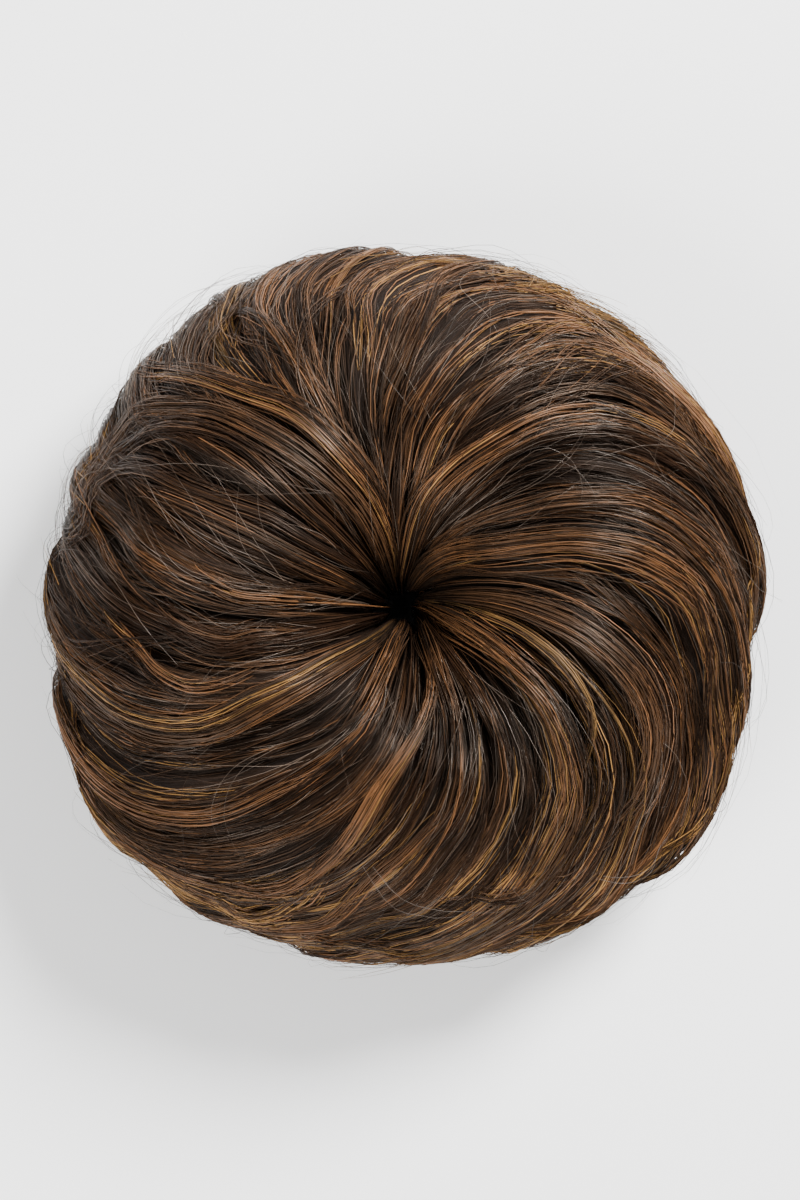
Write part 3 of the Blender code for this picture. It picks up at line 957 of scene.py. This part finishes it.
def rim_mix(swirl, centre):
    """The mix of colours of the wisps that reach the rim from a place round the locks."""
    angle = float(swirl.angle(np.array(centre), np.array(PLACE["rim"] - 0.4)))
    for arc in GOLDEN_RIM:
        if abs(angle_from(arc.middle, angle)) < arc.half_width:
            return arc.mix
    return LOCK_MIXES[LOCKS[int(centre) % len(LOCKS)].colour]


def plan_side_wisps(swirl, shape, random):
    """Wisps that come out from under the others on the shoulder, where the locks grow wider."""
    wisps = []
    for number, width in enumerate(lock_widths(swirl)):
        count = max(3, int(round(shape.side_wisps * width / shape.wisp_width)))
        for spot in range(count):
            centre = number + (spot + 0.5 + random.uniform(-0.3, 0.3)) / count
            mix = rim_mix(swirl, centre)
            wisps.append({
                "start_lock": centre, "end_lock": centre + random.normal(0, 0.25),
                "half_width": 0.5 / count * random.uniform(0.9, 1.8),
                "over": random.uniform(0.0, 0.0010), "neck": 0.0,
                "start": random.uniform(4.6, 6.4), "end": random.uniform(9.4, 10.6),
                "bridge": 0.1, "gaps": 1.0, "strands": 10,
                "colour": int(pick_colours(random, mix, 1)[0]),
                "tone": random.normal(0.0, 0.24), "frizz": random.uniform(0.6, 1.6),
            })
    return wisps


def plan_loose_wisps(shape, random):
    """Narrower wisps that lie over the locks and drift across their edges."""
    wisps = []
    for number in range(shape.loose_wisps):
        centre = (number + random.random()) * len(LOCKS) / shape.loose_wisps
        lock = LOCKS[int(centre) % len(LOCKS)]
        start = random.uniform(2.2, 6.0)
        wisps.append({
            "start_lock": centre, "end_lock": centre + random.normal(0, 0.8),
            "half_width": random.uniform(0.03, 0.12),
            "over": random.uniform(0.0006, 0.0018),
            "neck": 0.0, "start": start, "end": min(start + random.uniform(2.5, 5.5), 10.4),
            "bridge": random.uniform(0.3, 0.8), "gaps": random.uniform(0.3, 1.0),
            "strands": shape.loose_strands,
            "colour": int(pick_colours(random, LOCK_MIXES[lock.colour], 1)[0]),
            "tone": random.normal(0.08, 0.15), "frizz": random.uniform(0.8, 2.2),
        })
    return wisps


def waves(random, total, share, size, fewest, most):
    """How far each strand waves to its side, in from fewest to most whole waves."""
    height = random.normal(0.0, size, total)[:, None]
    turns = random.uniform(fewest, most, total)[:, None]
    return height * np.sin(2 * pi * (share * turns + random.random(total)[:, None]))


def taper(share, thin, length):
    """A strand's width along it, which thins to a share of it over a length at both ends."""
    return thin + (1 - thin) * np.clip(np.minimum(share, 1 - share) / length, 0.0, 1.0)


def strand_looks(shape, random, colour, spread):
    """Each strand's half width, tone and own colour, from its wisp's colour."""
    total = len(colour)
    own = np.zeros(total, int)
    for number, name in enumerate(COLOURS):
        chosen = np.flatnonzero(colour == number)
        own[chosen] = pick_colours(random, WISP_MIXES[name], len(chosen))
    width = 0.5 * shape.strand_width * random.uniform(0.6, 1.4, total)
    tone = 0.38 + random.normal(0.0, spread, total)
    # Painted glints: a share of the strands are thinner and lighter, standing in for strands that
    # catch the light
    glint_share = np.where(own <= COLOURS.index("chestnut"), 0.13, 0.06)
    glint = random.random(total) < glint_share
    width = np.where(glint, 0.6 * width, width)
    tone = np.where(glint, tone + 0.45, tone)
    return width[:, None], tone[:, None], own


def lay_strands(swirl, shape, wisps, random, count):
    """Points, radius, tone, frizz and colour of every strand of the wisps along the locks."""
    owner = np.repeat(np.arange(len(wisps)), [wisp["strands"] for wisp in wisps])
    total = len(owner)

    def of_wisp(key):
        return np.array([wisp[key] for wisp in wisps], float)[owner][:, None]

    # Along: from each strand's start to its end
    start = of_wisp("start") + random.uniform(-0.15, 0.15, total)[:, None]
    end = of_wisp("end") + random.uniform(-0.2, 0.2, total)[:, None]
    places = swirl.strand_places(np.clip(start[:, 0], 0.0, None),
                                 np.clip(end[:, 0], 0, PLACE["gather"]), count)
    share = np.linspace(0.0, 1.0, count)[None, :]

    # Sideways: within the wisp, which is narrower at its ends, with a few strays
    side = np.clip(random.normal(0.0, 0.5, total), -1.3, 1.3)[:, None]
    gathered = 0.45 + 0.55 * np.sin(pi * np.clip(share, 0.02, 0.98)) ** 0.6
    phase = random.uniform(0, 2 * pi, total)[:, None]
    reach = random.normal(0.0, 0.6, total)[:, None]
    weave = 1.0 + 0.35 * np.sin(2 * pi * share * 1.3 + phase)
    drift = of_wisp("start_lock") * (1 - share) + of_wisp("end_lock") * share
    spread = of_wisp("half_width") * gathered
    lock_place = drift + spread * (side * weave + 0.5 * reach * share)
    stray = (random.random(total) < shape.stray_share)[:, None]
    lock_place = lock_place + np.where(
        stray, random.normal(0.0, 0.40, total)[:, None], 0.0) * share
    lock_place = lock_place + waves(random, total, share, 0.014, 1.0, 3.0)

    # Over the locks: rising out of the hole, and diving under the hair at hidden ends
    over = of_wisp("over") * (1 - 0.5 * side * side) + random.uniform(
        -0.0002, 0.0004, total)[:, None]
    over = np.where(stray, over + 0.0006, over) * (1 - 0.6 * near_rim(places))
    over = over + of_wisp("neck") * (1 - smooth_step((places - 2.2) / 1.3))
    dive_in = 1 - smooth_step((places - start) / 0.7)
    dive_out = 1 - smooth_step((end - places) / 0.8)
    over = over - np.where(start > 2.1, dive_in * DIVE, 0.0)
    over = over - np.where(end < PLACE["under"] + 0.9, dive_out * DIVE, 0.0)
    flat = smooth_step((places - PLACE["tuck"]) / 1.0)
    over = over * (1 - flat) + np.minimum(over, FLAT_HEIGHT) * flat
    points = swirl.points(lock_place, places, over, of_wisp("bridge"), of_wisp("gaps"))
    points[..., 2] = np.maximum(points[..., 2], 0.00018)

    # Looks: lighter at the rim and on strays, with painted shade that darkens the valleys between
    # the locks, the gaps and the hole
    narrow = 0.55 + 0.45 * smooth_step((places - 2.0) / 1.6)
    width, tone, colour = strand_looks(shape, random, of_wisp("colour")[:, 0].astype(int), 0.17)
    valley = 2 * (lock_place - np.floor(lock_place)) - 1
    tone = tone + of_wisp("tone") + 0.50 * near_rim(places) + np.where(stray, 0.2, 0.0)
    # Painted shade: darker towards the valleys between the locks
    tone = tone + 0.12 - 0.46 * valley * valley
    # Painted shade: darker near the hole
    tone = tone - 0.16 * (1 - smooth_step((places - 2.4) / 1.5))
    across, up = points[..., 0], points[..., 1]
    # Painted shade: darker in the gaps, in step with their depth
    tone = tone - 110.0 * swirl.sink(np.degrees(np.arctan2(up, across)), np.hypot(across, up))
    frizz = of_wisp("frizz") * random.uniform(0.5, 1.5, total)[:, None] * (1 - 0.8 * flat)
    return points, width * taper(share, 0.35, 0.12) * narrow, tone, frizz, colour


def main_path(swirl, wisp):
    """The places of one of the photo's wisps, with its ways out of the hole and under the rim."""
    spots = [swirl.place_of(angle, reach) for angle, reach in wisp.path]
    if wisp.path[0][1] < 0.2:
        spots = [(spots[0][0], 1.5), (spots[0][0], 2.3)] + spots
    if wisp.path[-1][1] > 0.92:
        (before, low), (last, high) = spots[-2:]
        slope = (last - before) / max(high - low, 0.15)
        turn = min(max(slope * 0.8, -1.0), 1.0)
        spots += [(last + turn, 8.8), (last + 1.4 * turn, 9.7)]
    return np.array(spots)


def eased_path(path, count, window):
    """Many places along a path of a few, with its corners eased."""
    places = through(path, np.linspace(0.0, len(path) - 1.0, count))
    weights = np.hanning(window + 2)[1:-1]
    weights /= weights.sum()
    half = window // 2
    eased = []
    for column in places.T:
        before = 2 * column[0] - column[half:0:-1]
        after = 2 * column[-1] - column[-2:-half - 2:-1]
        eased.append(np.convolve(np.concatenate((before, column, after)), weights, "valid"))
    return np.stack(eased, axis=1)


def main_middle(swirl, wisp):
    """A wisp's middle line at even steps: its points, the ways out of the hair and to the side,
    and its places along the sections."""
    places = eased_path(main_path(swirl, wisp), MIDDLE_POINTS, 33)
    lock_place, place = places[:, 0], np.clip(places[:, 1], 0, PLACE["gather"])
    over = 0.0004 + 0.75 * wisp.over * (1 - 0.75 * near_rim(place))
    line = swirl.points(lock_place, place, over, 0.75 * (1 - near_rim(place)), 0.45)
    outward = swirl.outward(lock_place, place)
    steps = np.linalg.norm(np.diff(line, axis=0), axis=1)
    length = np.concatenate(([0.0], np.cumsum(steps)))
    even = np.linspace(0.0, length[-1], MIDDLE_POINTS)
    line, outward = [
        np.stack([np.interp(even, length, column) for column in values.T], axis=1)
        for values in (line, outward)]
    sideways = np.cross(outward, np.gradient(line, axis=0))
    sideways /= np.linalg.norm(sideways, axis=1, keepdims=True)
    return line, outward, sideways, place


def lay_main_wisps(swirl, shape, random):
    """The same values for the strands of the photo's own wisps, to both sides of their paths."""
    laid = []
    share = np.linspace(0.0, 1.0, shape.strand_points)[None, :]
    for wisp in WISPS:
        from_hole = wisp.path[0][1] < 0.2
        to_rim = wisp.path[-1][1] > 0.92
        *middle, place = main_middle(swirl, wisp)

        # Along and sideways: staggered ends, and strands that cross a little
        total = max(4, int(wisp.width / shape.main_spacing))
        first = random.uniform(0.0, 0.03 if from_hole else 0.30, total)
        last = 1 - (0.24 if to_rim else 0.36) * random.random(total) ** 1.3
        along = first[:, None] + (last - first)[:, None] * share
        side = np.clip(random.normal(0.0, 0.62, total), -1.7, 1.7)[:, None]
        other = 0.75 * side + random.normal(0.0, 0.30, total)[:, None]
        wander = waves(random, total, share, 0.13, 0.8, 2.2)
        offset = side * (1 - share) + other * share + wander
        near, nearer = (0.12, 0.38) if from_hole else (0.45, 0.7)
        spread = np.interp(along, (0.0, 0.15, 0.35, 0.8, 1.0), (near, nearer, 0.9, 1.0, 0.75))

        # Over the middle line: domed across, with wide strands below and ends that dive
        rim = near_rim(np.interp(along, np.linspace(0, 1, MIDDLE_POINTS), place))
        rise = (1 - 0.6 * rim) * random.uniform(-0.3, 0.7, total)[:, None]
        height = CROWNING * (rise - smooth_step((np.abs(offset) - 0.3) / 1.3))
        backing = ((random.random(total) < BACKING_SHARE) & (np.abs(side[:, 0]) < 0.8))[:, None]
        height = height - np.where(backing, BACKING_DEPTH, 0.0)
        if not from_hole:
            height = height - CROWN_DIVE * (1 - smooth_step(share / 0.24))
        last_dive = RIM_DIVE if to_rim else CROWN_DIVE
        height = height - last_dive * (1 - smooth_step((1 - share) / 0.24))
        line, out, across = [table_value(values, along, 1.0 / (MIDDLE_POINTS - 1))
                             for values in middle]
        points = line + across * (0.5 * wisp.width * spread * offset)[..., None]
        points = points + out * height[..., None]
        points[..., 2] = np.maximum(points[..., 2], 0.0002)

        # Looks: the wisp's own colour in its middle, lighter at the rim, with painted sheen on its
        # bend and painted shade at its ends, near the hole and on the wide strands below
        inner = random.random(total) < np.exp(-(side[:, 0] / 1.1) ** 2)
        named = np.where(inner, COLOURS.index(wisp.colour), COLOURS.index("chestnut"))
        width, tone, colour = strand_looks(shape, random, named, 0.16)
        # Painted sheen: lighter on the wisp's bend and darker at its ends
        painted_sheen = 0.40 * (np.sin(pi * along) - 0.6)
        from_axis = np.hypot(points[..., 0], points[..., 1])
        # Painted shade: darker near the hole's axis
        deep = 0.52 * (1 - smooth_step((from_axis - 0.004) / 0.011))
        # Painted shade: the wide strands below the others are darker
        tone = tone + wisp.tone + painted_sheen + 0.16 * rim - deep - np.where(backing, 0.12, 0.0)
        width = np.where(backing, BACKING_WIDTH * width, width) * taper(share, 0.30, 0.15)
        frizz = random.uniform(0.4, 1.7, total)[:, None] * np.ones_like(share)
        laid.append((points, width, tone, frizz, colour))
    return [np.concatenate(column) for column in zip(*laid)]


def settings():
    """The hairpiece's settings in the scene."""
    return bpy.context.scene.top_knot


class TOPKNOT_OT_packed_hair(bpy.types.Operator):
    """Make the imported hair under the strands, in the form of the locks and the hollow."""

    bl_idname = "topknot.packed_hair"
    bl_label = "Packed hair"

    COLUMNS_PER_LOCK = 30
    ROWS_PER_SECTION = 5
    RIDGE = 0.00022
    SEAT_CLEARANCE = 0.0004

    def execute(self, context):
        shape = settings().hair
        swirl = Swirl(shape)
        random = np.random.default_rng(settings().strands.seed + 1)
        last = len(SECTIONS) - 1
        inset = np.tile(np.linspace(0.02, 0.98, self.COLUMNS_PER_LOCK), len(LOCKS))
        around = np.repeat(np.arange(len(LOCKS)), self.COLUMNS_PER_LOCK) + inset
        along = np.linspace(0.0, last, last * self.ROWS_PER_SECTION + 1)
        ridge = random.uniform(-self.RIDGE, self.RIDGE, len(around))
        lock_place, place = np.broadcast_arrays(around[None, :], along[:, None])
        under = -shape.under_depth + ridge[None, :] * np.ones_like(place)
        flat = smooth_step((place - PLACE["tuck"]) / 1.0)
        under = under * (1 - flat) - shape.under_depth * flat
        grid = swirl.points(lock_place, place, under, 0.0, 1.0)
        angles = np.radians(swirl.angle(around, np.full(len(around), float(last))))
        band_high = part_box("elastic_band")[1]
        seat_radius = band_high.x + self.SEAT_CLEARANCE
        seat_top = band_high.z + self.SEAT_CLEARANCE
        seat = ((seat_radius + 0.0008, 0.0012), (seat_radius, 0.0026), (seat_radius, seat_top))
        rows = [grid]
        for radius, height in seat:
            ring = np.stack((radius * np.cos(angles), radius * np.sin(angles),
                             np.full(len(angles), height)), axis=-1)
            rows.append(ring[None])
        vertices = np.concatenate(rows)
        levels = np.concatenate((along, last + 0.1 * np.arange(1, len(seat) + 1)))
        mesh = self.ring_mesh(vertices, around, levels)
        mesh.materials.append(packed_material("packed_hair", settings().colours.dark,
                                              settings().colours.chestnut))
        piece = add_piece("packed_hair", mesh)
        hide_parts("hair_core",
                    *["lock_%02d" % (number + 1) for number in range(len(LOCKS))])
        return {"FINISHED"}

    def ring_mesh(self, vertices, around, levels):
        """A closed ring from a grid of rows by columns, with the flow as its UV map."""
        rows, columns = vertices.shape[:2]
        mesh = bpy.data.meshes.new("packed_hair")
        build = bmesh.new()
        flow = build.loops.layers.uv.new("flow")
        points = [[build.verts.new(point) for point in row] for row in vertices]
        for row in range(rows):
            following = (row + 1) % rows
            for column in range(columns):
                after = (column + 1) % columns
                corners = ((row, column), (row, after), (following, after), (following, column))
                face = build.faces.new([points[i][j] for i, j in corners])
                face.smooth = True
                edge = around[column] + 1.0 / self.COLUMNS_PER_LOCK
                for loop, (i, j) in zip(face.loops, corners):
                    spot = edge if (j == 0 and after == 0) else around[j]
                    level = levels[i] if i or row == 0 else levels[-1] + 0.1
                    loop[flow].uv = (spot, level)
        bmesh.ops.recalc_face_normals(build, faces=build.faces[:])
        build.to_mesh(mesh)
        build.free()
        return mesh


class TOPKNOT_OT_strands(bpy.types.Operator):
    """Lay the strands of every lock and the wisps over them, as pieces of one hair colour each."""

    bl_idname = "topknot.strands"
    bl_label = "Strands"

    MOST_TRIANGLES = 200000

    def execute(self, context):
        shape = settings().strands
        swirl = Swirl(settings().hair)
        random = np.random.default_rng(shape.seed)
        whole = lay_strands(swirl, shape, plan_lock_wisps(swirl, shape, random), random,
                            shape.strand_points)
        short = lay_strands(
            swirl, shape, plan_side_wisps(swirl, shape, random) + plan_loose_wisps(shape, random),
            random, shape.short_points)
        main_wisps = lay_main_wisps(swirl, shape, random)
        groups = (("inner", whole), ("outer", short), ("main", main_wisps))
        for number, name in enumerate(COLOURS):
            material = strand_material(name)
            for group, (points, radius, tone, frizz, colour) in groups:
                chosen = np.flatnonzero(colour == number)
                if not len(chosen):
                    continue
                attributes = {"radius": radius[chosen], "tone": tone[chosen],
                              "frizz": frizz[chosen]}
                label = "%s_%s_strands" % (group, name)
                mesh = sweep_lines(label, points[chosen], attributes, material, shape)
                if len(mesh.polygons) * 2 > self.MOST_TRIANGLES:
                    raise RuntimeError("%s has too many strands for one piece" % label)
                add_piece(label, mesh)
        return {"FINISHED"}


class TOPKNOT_OT_flyaways(bpy.types.Operator):
    """Scatter fine single hairs that arch off the bun and stand out of its outline."""

    bl_idname = "topknot.flyaways"
    bl_label = "Fly-away hairs"

    POINTS = 14
    HALF_WIDTHS = {"dark": 0.000045, "pale": 0.00004, "golden": 0.00006}
    PALE_SHARE, HIGHEST = 0.15, 0.0034

    def execute(self, context):
        shape = settings().strands
        swirl = Swirl(settings().hair)
        random = np.random.default_rng(shape.seed + 2)
        total = shape.flyaways
        start = random.uniform(2.6, 8.4, total)
        length = random.uniform(1.2, 3.2, total)
        places = swirl.strand_places(start, np.minimum(start + length, 9.8), self.POINTS)
        share = np.linspace(0.0, 1.0, self.POINTS)[None, :]
        centre = random.uniform(0, len(LOCKS), total)[:, None]
        across = random.normal(0.0, 1.3, total)[:, None]
        bow = random.normal(0, 0.25, total)[:, None] * np.sin(pi * share)
        lock_place = centre + across * share + bow
        free = (random.random(total) < 0.35)[:, None]
        height = np.minimum(random.gamma(2.0, 0.0008, total), self.HIGHEST)[:, None]
        arch = np.where(free, share ** 1.6 * 1.6, np.sin(pi * share))
        over = 0.0006 + height * arch - 0.0012 * (1 - smooth_step(share / 0.12))
        points = swirl.points(lock_place, places, over, 0.6)
        points[..., 2] = np.maximum(points[..., 2], 0.0003)
        # The pale hairs are partly their own colour and partly a painted highlight on fine hairs
        pale = random.random(total) < self.PALE_SHARE
        self.add_hairs("dark", points[~pale], random)
        over_wisps = (points[pale], self.named_hairs(swirl, random),
                      self.fine_hairs(swirl, shape.fine_hairs, random))
        self.add_hairs("pale", np.concatenate(over_wisps), random)
        self.add_hairs("golden", self.frays(swirl, random), random)
        return {"FINISHED"}

    def add_hairs(self, colour, points, random):
        """Add a piece of hairs of one colour that thin out to their tips."""
        total = len(points)
        width = self.HALF_WIDTHS[colour]
        share = np.linspace(0.0, 1.0, self.POINTS)[None, :]
        radius = width * random.uniform(0.8, 1.4, total)[:, None] * (1.15 - share)
        attributes = {"radius": radius, "tone": random.uniform(0.2, 1.0, total)[:, None],
                      "frizz": random.uniform(0.5, 2.5, total)[:, None]}
        name = colour + "_flyaways"
        mesh = sweep_lines(name, points, attributes, strand_material(colour), settings().strands)
        add_piece(name, mesh)

    def named_hairs(self, swirl, random):
        """The hairs along each path of the table, a little apart."""
        laid = []
        share = np.linspace(0.0, 1.0, self.POINTS)
        for hair in HAIRS:
            places = eased_path(np.array([swirl.place_of(*spot) for spot in hair.path]), 81, 11)
            for _ in range(hair.count):
                shift = random.normal(0.0, 0.12) + random.normal(0.0, 0.3) * share
                line = table_value(places, share, 1.0 / 80)
                rise = hair.over * (0.35 + 0.65 * np.sin(pi * share)) * random.uniform(0.5, 1.1)
                laid.append(swirl.points(line[:, 0] + shift, line[:, 1], rise, 0.8))
        return np.array(laid)

    def fine_hairs(self, swirl, total, random):
        """Fine hairs that follow the wisps closely and drift a little across them."""
        start = random.uniform(2.3, 7.4, total)
        end = np.minimum(start + random.uniform(1.4, 4.2, total), 9.6)
        places = swirl.strand_places(start, end, self.POINTS)
        share = np.linspace(0.0, 1.0, self.POINTS)[None, :]
        centre = random.uniform(0, len(LOCKS), total)[:, None]
        drift = random.normal(0.0, 0.45, total)[:, None] * share
        bow = random.normal(0.0, 0.12, total)[:, None] * np.sin(pi * share)
        over = random.uniform(0.0008, 0.0018, total)[:, None] * (1 - 0.4 * near_rim(places))
        over = over - DIVE * (1 - smooth_step(np.minimum(share, 1 - share) / 0.12))
        return swirl.points(centre + drift + bow, places, over, 0.15, 0.8)

    def frays(self, swirl, random):
        """Short ends that rise off the rim."""
        laid = []
        share = np.linspace(0.0, 1.0, self.POINTS)
        for fray in FRAYS:
            for _ in range(fray.count):
                angle = fray.angle + fray.half_width * random.normal(0.0, 0.6)
                lock_place, place = swirl.place_of(angle, random.uniform(0.92, 0.985))
                places = place + random.uniform(0.35, 0.9) * share
                sideways = lock_place + random.normal(-0.1, 0.28) * share
                height = min(random.gamma(2.0, 0.0007), self.HIGHEST)
                rise = 0.0004 + height * share ** 1.2
                laid.append(swirl.points(sideways, places, rise, 0.8))
        return np.array(laid)


class TOPKNOT_OT_elastic(bpy.types.Operator):
    """Make the knitted elastic ring with its ribs."""

    bl_idname = "topknot.elastic"
    bl_label = "Elastic"

    PROFILE = 24
    STEPS_PER_RIB = 6
    CORNER_POWER = 0.55
    RIB_POWER = 0.7

    def execute(self, context):
        shape = settings().elastic
        low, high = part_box("elastic_band")
        outer = high.x
        width = outer - self.inner_radius()
        height = high.z - low.z
        middle = Vector((outer - width / 2, 0.0, (low.z + high.z) / 2))
        columns = shape.ribs * self.STEPS_PER_RIB
        turn = np.linspace(0, 2 * pi, columns, endpoint=False)[:, None]
        round_section = np.linspace(0, 2 * pi, self.PROFILE, endpoint=False)[None, :]
        across, upright = [np.sign(wave) * np.abs(wave) ** self.CORNER_POWER
                           for wave in (np.cos(round_section), np.sin(round_section))]
        rib = np.abs(np.sin(0.5 * turn * shape.ribs)) ** self.RIB_POWER
        shrink = shape.rib_height * (1 - rib)
        radius = middle.x + (width / 2 - shrink) * across
        level = middle.z + (height / 2 - shrink) * upright
        grid = np.stack((radius * np.cos(turn), radius * np.sin(turn), level), axis=-1)
        build = bmesh.new()
        rings = [[build.verts.new(point) for point in ring] for ring in grid]
        for number, ring in enumerate(rings):
            following = rings[(number + 1) % columns]
            for side in range(self.PROFILE):
                after = (side + 1) % self.PROFILE
                face = build.faces.new((ring[side], following[side], following[after], ring[after]))
                face.smooth = True
        bmesh.ops.recalc_face_normals(build, faces=build.faces[:])
        mesh = bpy.data.meshes.new("knitted_elastic")
        build.to_mesh(mesh)
        build.free()
        mesh.materials.append(self.material())
        piece = add_piece("knitted_elastic", mesh)
        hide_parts("elastic_band")
        return {"FINISHED"}

    def inner_radius(self):
        """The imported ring's inner radius, from its own points."""
        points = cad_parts["elastic_band"].data.vertices
        return min(point.co.xy.length for point in points)

    def material(self):
        """Dark matt yarn."""
        material = bpy.data.materials.new("knitted_elastic")
        material.use_nodes = True
        tree = material.node_tree
        shader = tree.nodes["Principled BSDF"]
        colour = settings().colours.elastic
        place = node(tree, "ShaderNodeTexCoord")
        yarn = node(tree, "ShaderNodeTexNoise", Scale=2200.0, Detail=3.0)
        mix = node(tree, "ShaderNodeMix", data_type="RGBA")
        mix.inputs["A"].default_value, mix.inputs["B"].default_value = colour_pair(colour, 0.6, 2.4)
        bump = node(tree, "ShaderNodeBump", Strength=0.5, Distance=0.0002)
        shader.inputs["Roughness"].default_value = 0.82
        wire(tree, (place, "Object", yarn, "Vector"), (yarn, "Fac", mix, "Factor"),
             (mix, "Result", shader, "Base Color"), (yarn, "Fac", bump, "Height"),
             (bump, "Normal", shader, "Normal"))
        return material


class TOPKNOT_OT_stage(bpy.types.Operator):
    """Set the pale floor, the soft lights and the camera of the photo."""

    bl_idname = "topknot.stage"
    bl_label = "Stage"

    # Each light's name, place and size in metres
    KEY = ("key", (0.55, 0.65, 0.80), 0.45)
    FILL = ("fill", (-0.70, -0.58, 0.80), 0.80)
    FLOOR_HALF_WIDTH = 2.0

    def execute(self, context):
        look = settings().stage
        self.add_floor(look)
        self.add_world(look)
        self.add_light(*self.KEY, look.key_power)
        self.add_light(*self.FILL, look.fill_power)
        self.add_camera(look)
        return {"FINISHED"}

    def add_floor(self, look):
        """Lay the pale floor that the bun lies on."""
        build = bmesh.new()
        bmesh.ops.create_grid(build, x_segments=8, y_segments=8,
                              size=self.FLOOR_HALF_WIDTH)
        mesh = bpy.data.meshes.new("floor")
        build.to_mesh(mesh)
        build.free()
        floor = bpy.data.objects.new("floor", mesh)
        bpy.context.scene.collection.objects.link(floor)
        material = bpy.data.materials.new("floor")
        material.use_nodes = True
        shader = material.node_tree.nodes["Principled BSDF"]
        shader.inputs["Base Color"].default_value = (look.floor_tone,) * 3 + (1.0,)
        shader.inputs["Roughness"].default_value = 0.9
        mesh.materials.append(material)

    def add_world(self, look):
        """Light from all round, with less of it from straight above."""
        world = bpy.data.worlds.new("studio")
        world.use_nodes = True
        background = world.node_tree.nodes["Background"]
        background.inputs["Color"].default_value = (1.0, 0.99, 0.97, 1.0)
        direction = node(world.node_tree, "ShaderNodeTexCoord")
        split = node(world.node_tree, "ShaderNodeSeparateXYZ")
        above = node(world.node_tree, "ShaderNodeMapRange", From_Min=0.93, From_Max=0.99,
                     To_Min=look.sky, To_Max=0.15 * look.sky)
        wire(world.node_tree, (direction, "Generated", split, "Vector"),
             (split, "Z", above, "Value"), (above, "Result", background, "Strength"))
        bpy.context.scene.world = world

    def add_light(self, name, place, size, power):
        """Hang a round light that faces the bun."""
        data = bpy.data.lights.new(name, "AREA")
        data.shape = "DISK"
        data.size = size
        data.energy = power
        light = bpy.data.objects.new(name, data)
        light.location = place
        light.rotation_euler = (-Vector(place)).to_track_quat("-Z", "Y").to_euler()
        bpy.context.scene.collection.objects.link(light)

    def add_camera(self, look):
        """Set the camera straight above, so that the bun fills the picture as in the photo."""
        metres_per_pixel = settings().hair.bun_radius / look.outline_pixels
        data = bpy.data.cameras.new("camera")
        data.sensor_fit = "VERTICAL"
        data.sensor_height = 36.0
        data.lens = 36.0 * look.camera_distance / (look.photo_height * metres_per_pixel)
        rim_height = settings().hair.bun_height * SECTIONS[int(PLACE["rim"])].height
        camera = bpy.data.objects.new("camera", data)
        camera.location = (
            (look.photo_width / 2 - look.hole_x) * metres_per_pixel,
            (look.hole_y - look.photo_height / 2) * metres_per_pixel,
            rim_height + look.camera_distance,
        )
        data.clip_end = 10.0
        bpy.context.scene.collection.objects.link(camera)
        bpy.context.scene.camera = camera


class TopKnotSettings(bpy.types.PropertyGroup):
    """All settings of the hairpiece."""

    hair: PointerProperty(type=HairShape, name="Hair", description="The bun's form")
    strands: PointerProperty(type=StrandShape, name="Strands", description="The strands")
    colours: PointerProperty(type=HairColours, name="Colours", description="The colours")
    elastic: PointerProperty(type=ElasticShape, name="Elastic", description="The elastic")
    stage: PointerProperty(type=StageLook, name="Stage", description="Floor, light, camera")


class TOPKNOT_PT_panel(bpy.types.Panel):
    """Lists the hairpiece's settings and steps in the sidebar."""

    bl_label = "Top knot hairpiece"
    bl_idname = "TOPKNOT_PT_panel"
    bl_space_type = "VIEW_3D"
    bl_region_type = "UI"
    bl_category = "Top knot"

    def draw(self, context):
        layout = self.layout
        for part in ("hair", "strands", "colours", "elastic", "stage"):
            group = getattr(context.scene.top_knot, part)
            box = layout.box()
            box.label(text=part.capitalize())
            for name in group.bl_rna.properties.keys():
                if name not in {"rna_type", "name"}:
                    box.prop(group, name)
        for operator in OPERATORS:
            layout.operator(operator.bl_idname)


OPERATORS = (TOPKNOT_OT_packed_hair, TOPKNOT_OT_strands, TOPKNOT_OT_flyaways, TOPKNOT_OT_elastic,
             TOPKNOT_OT_stage)
CLASSES = (HairShape, StrandShape, HairColours, ElasticShape, StageLook, TopKnotSettings,
           *OPERATORS, TOPKNOT_PT_panel)


def register():
    for item in CLASSES:
        bpy.utils.register_class(item)
    bpy.types.Scene.top_knot = PointerProperty(type=TopKnotSettings)


def unregister():
    del bpy.types.Scene.top_knot
    for item in reversed(CLASSES):
        bpy.utils.unregister_class(item)


def main():
    """Build the hairpiece and its stage."""
    register()
    bpy.ops.topknot.packed_hair()
    bpy.ops.topknot.strands()
    bpy.ops.topknot.flyaways()
    bpy.ops.topknot.elastic()
    bpy.ops.topknot.stage()


if __name__ == "__main__":
    main()
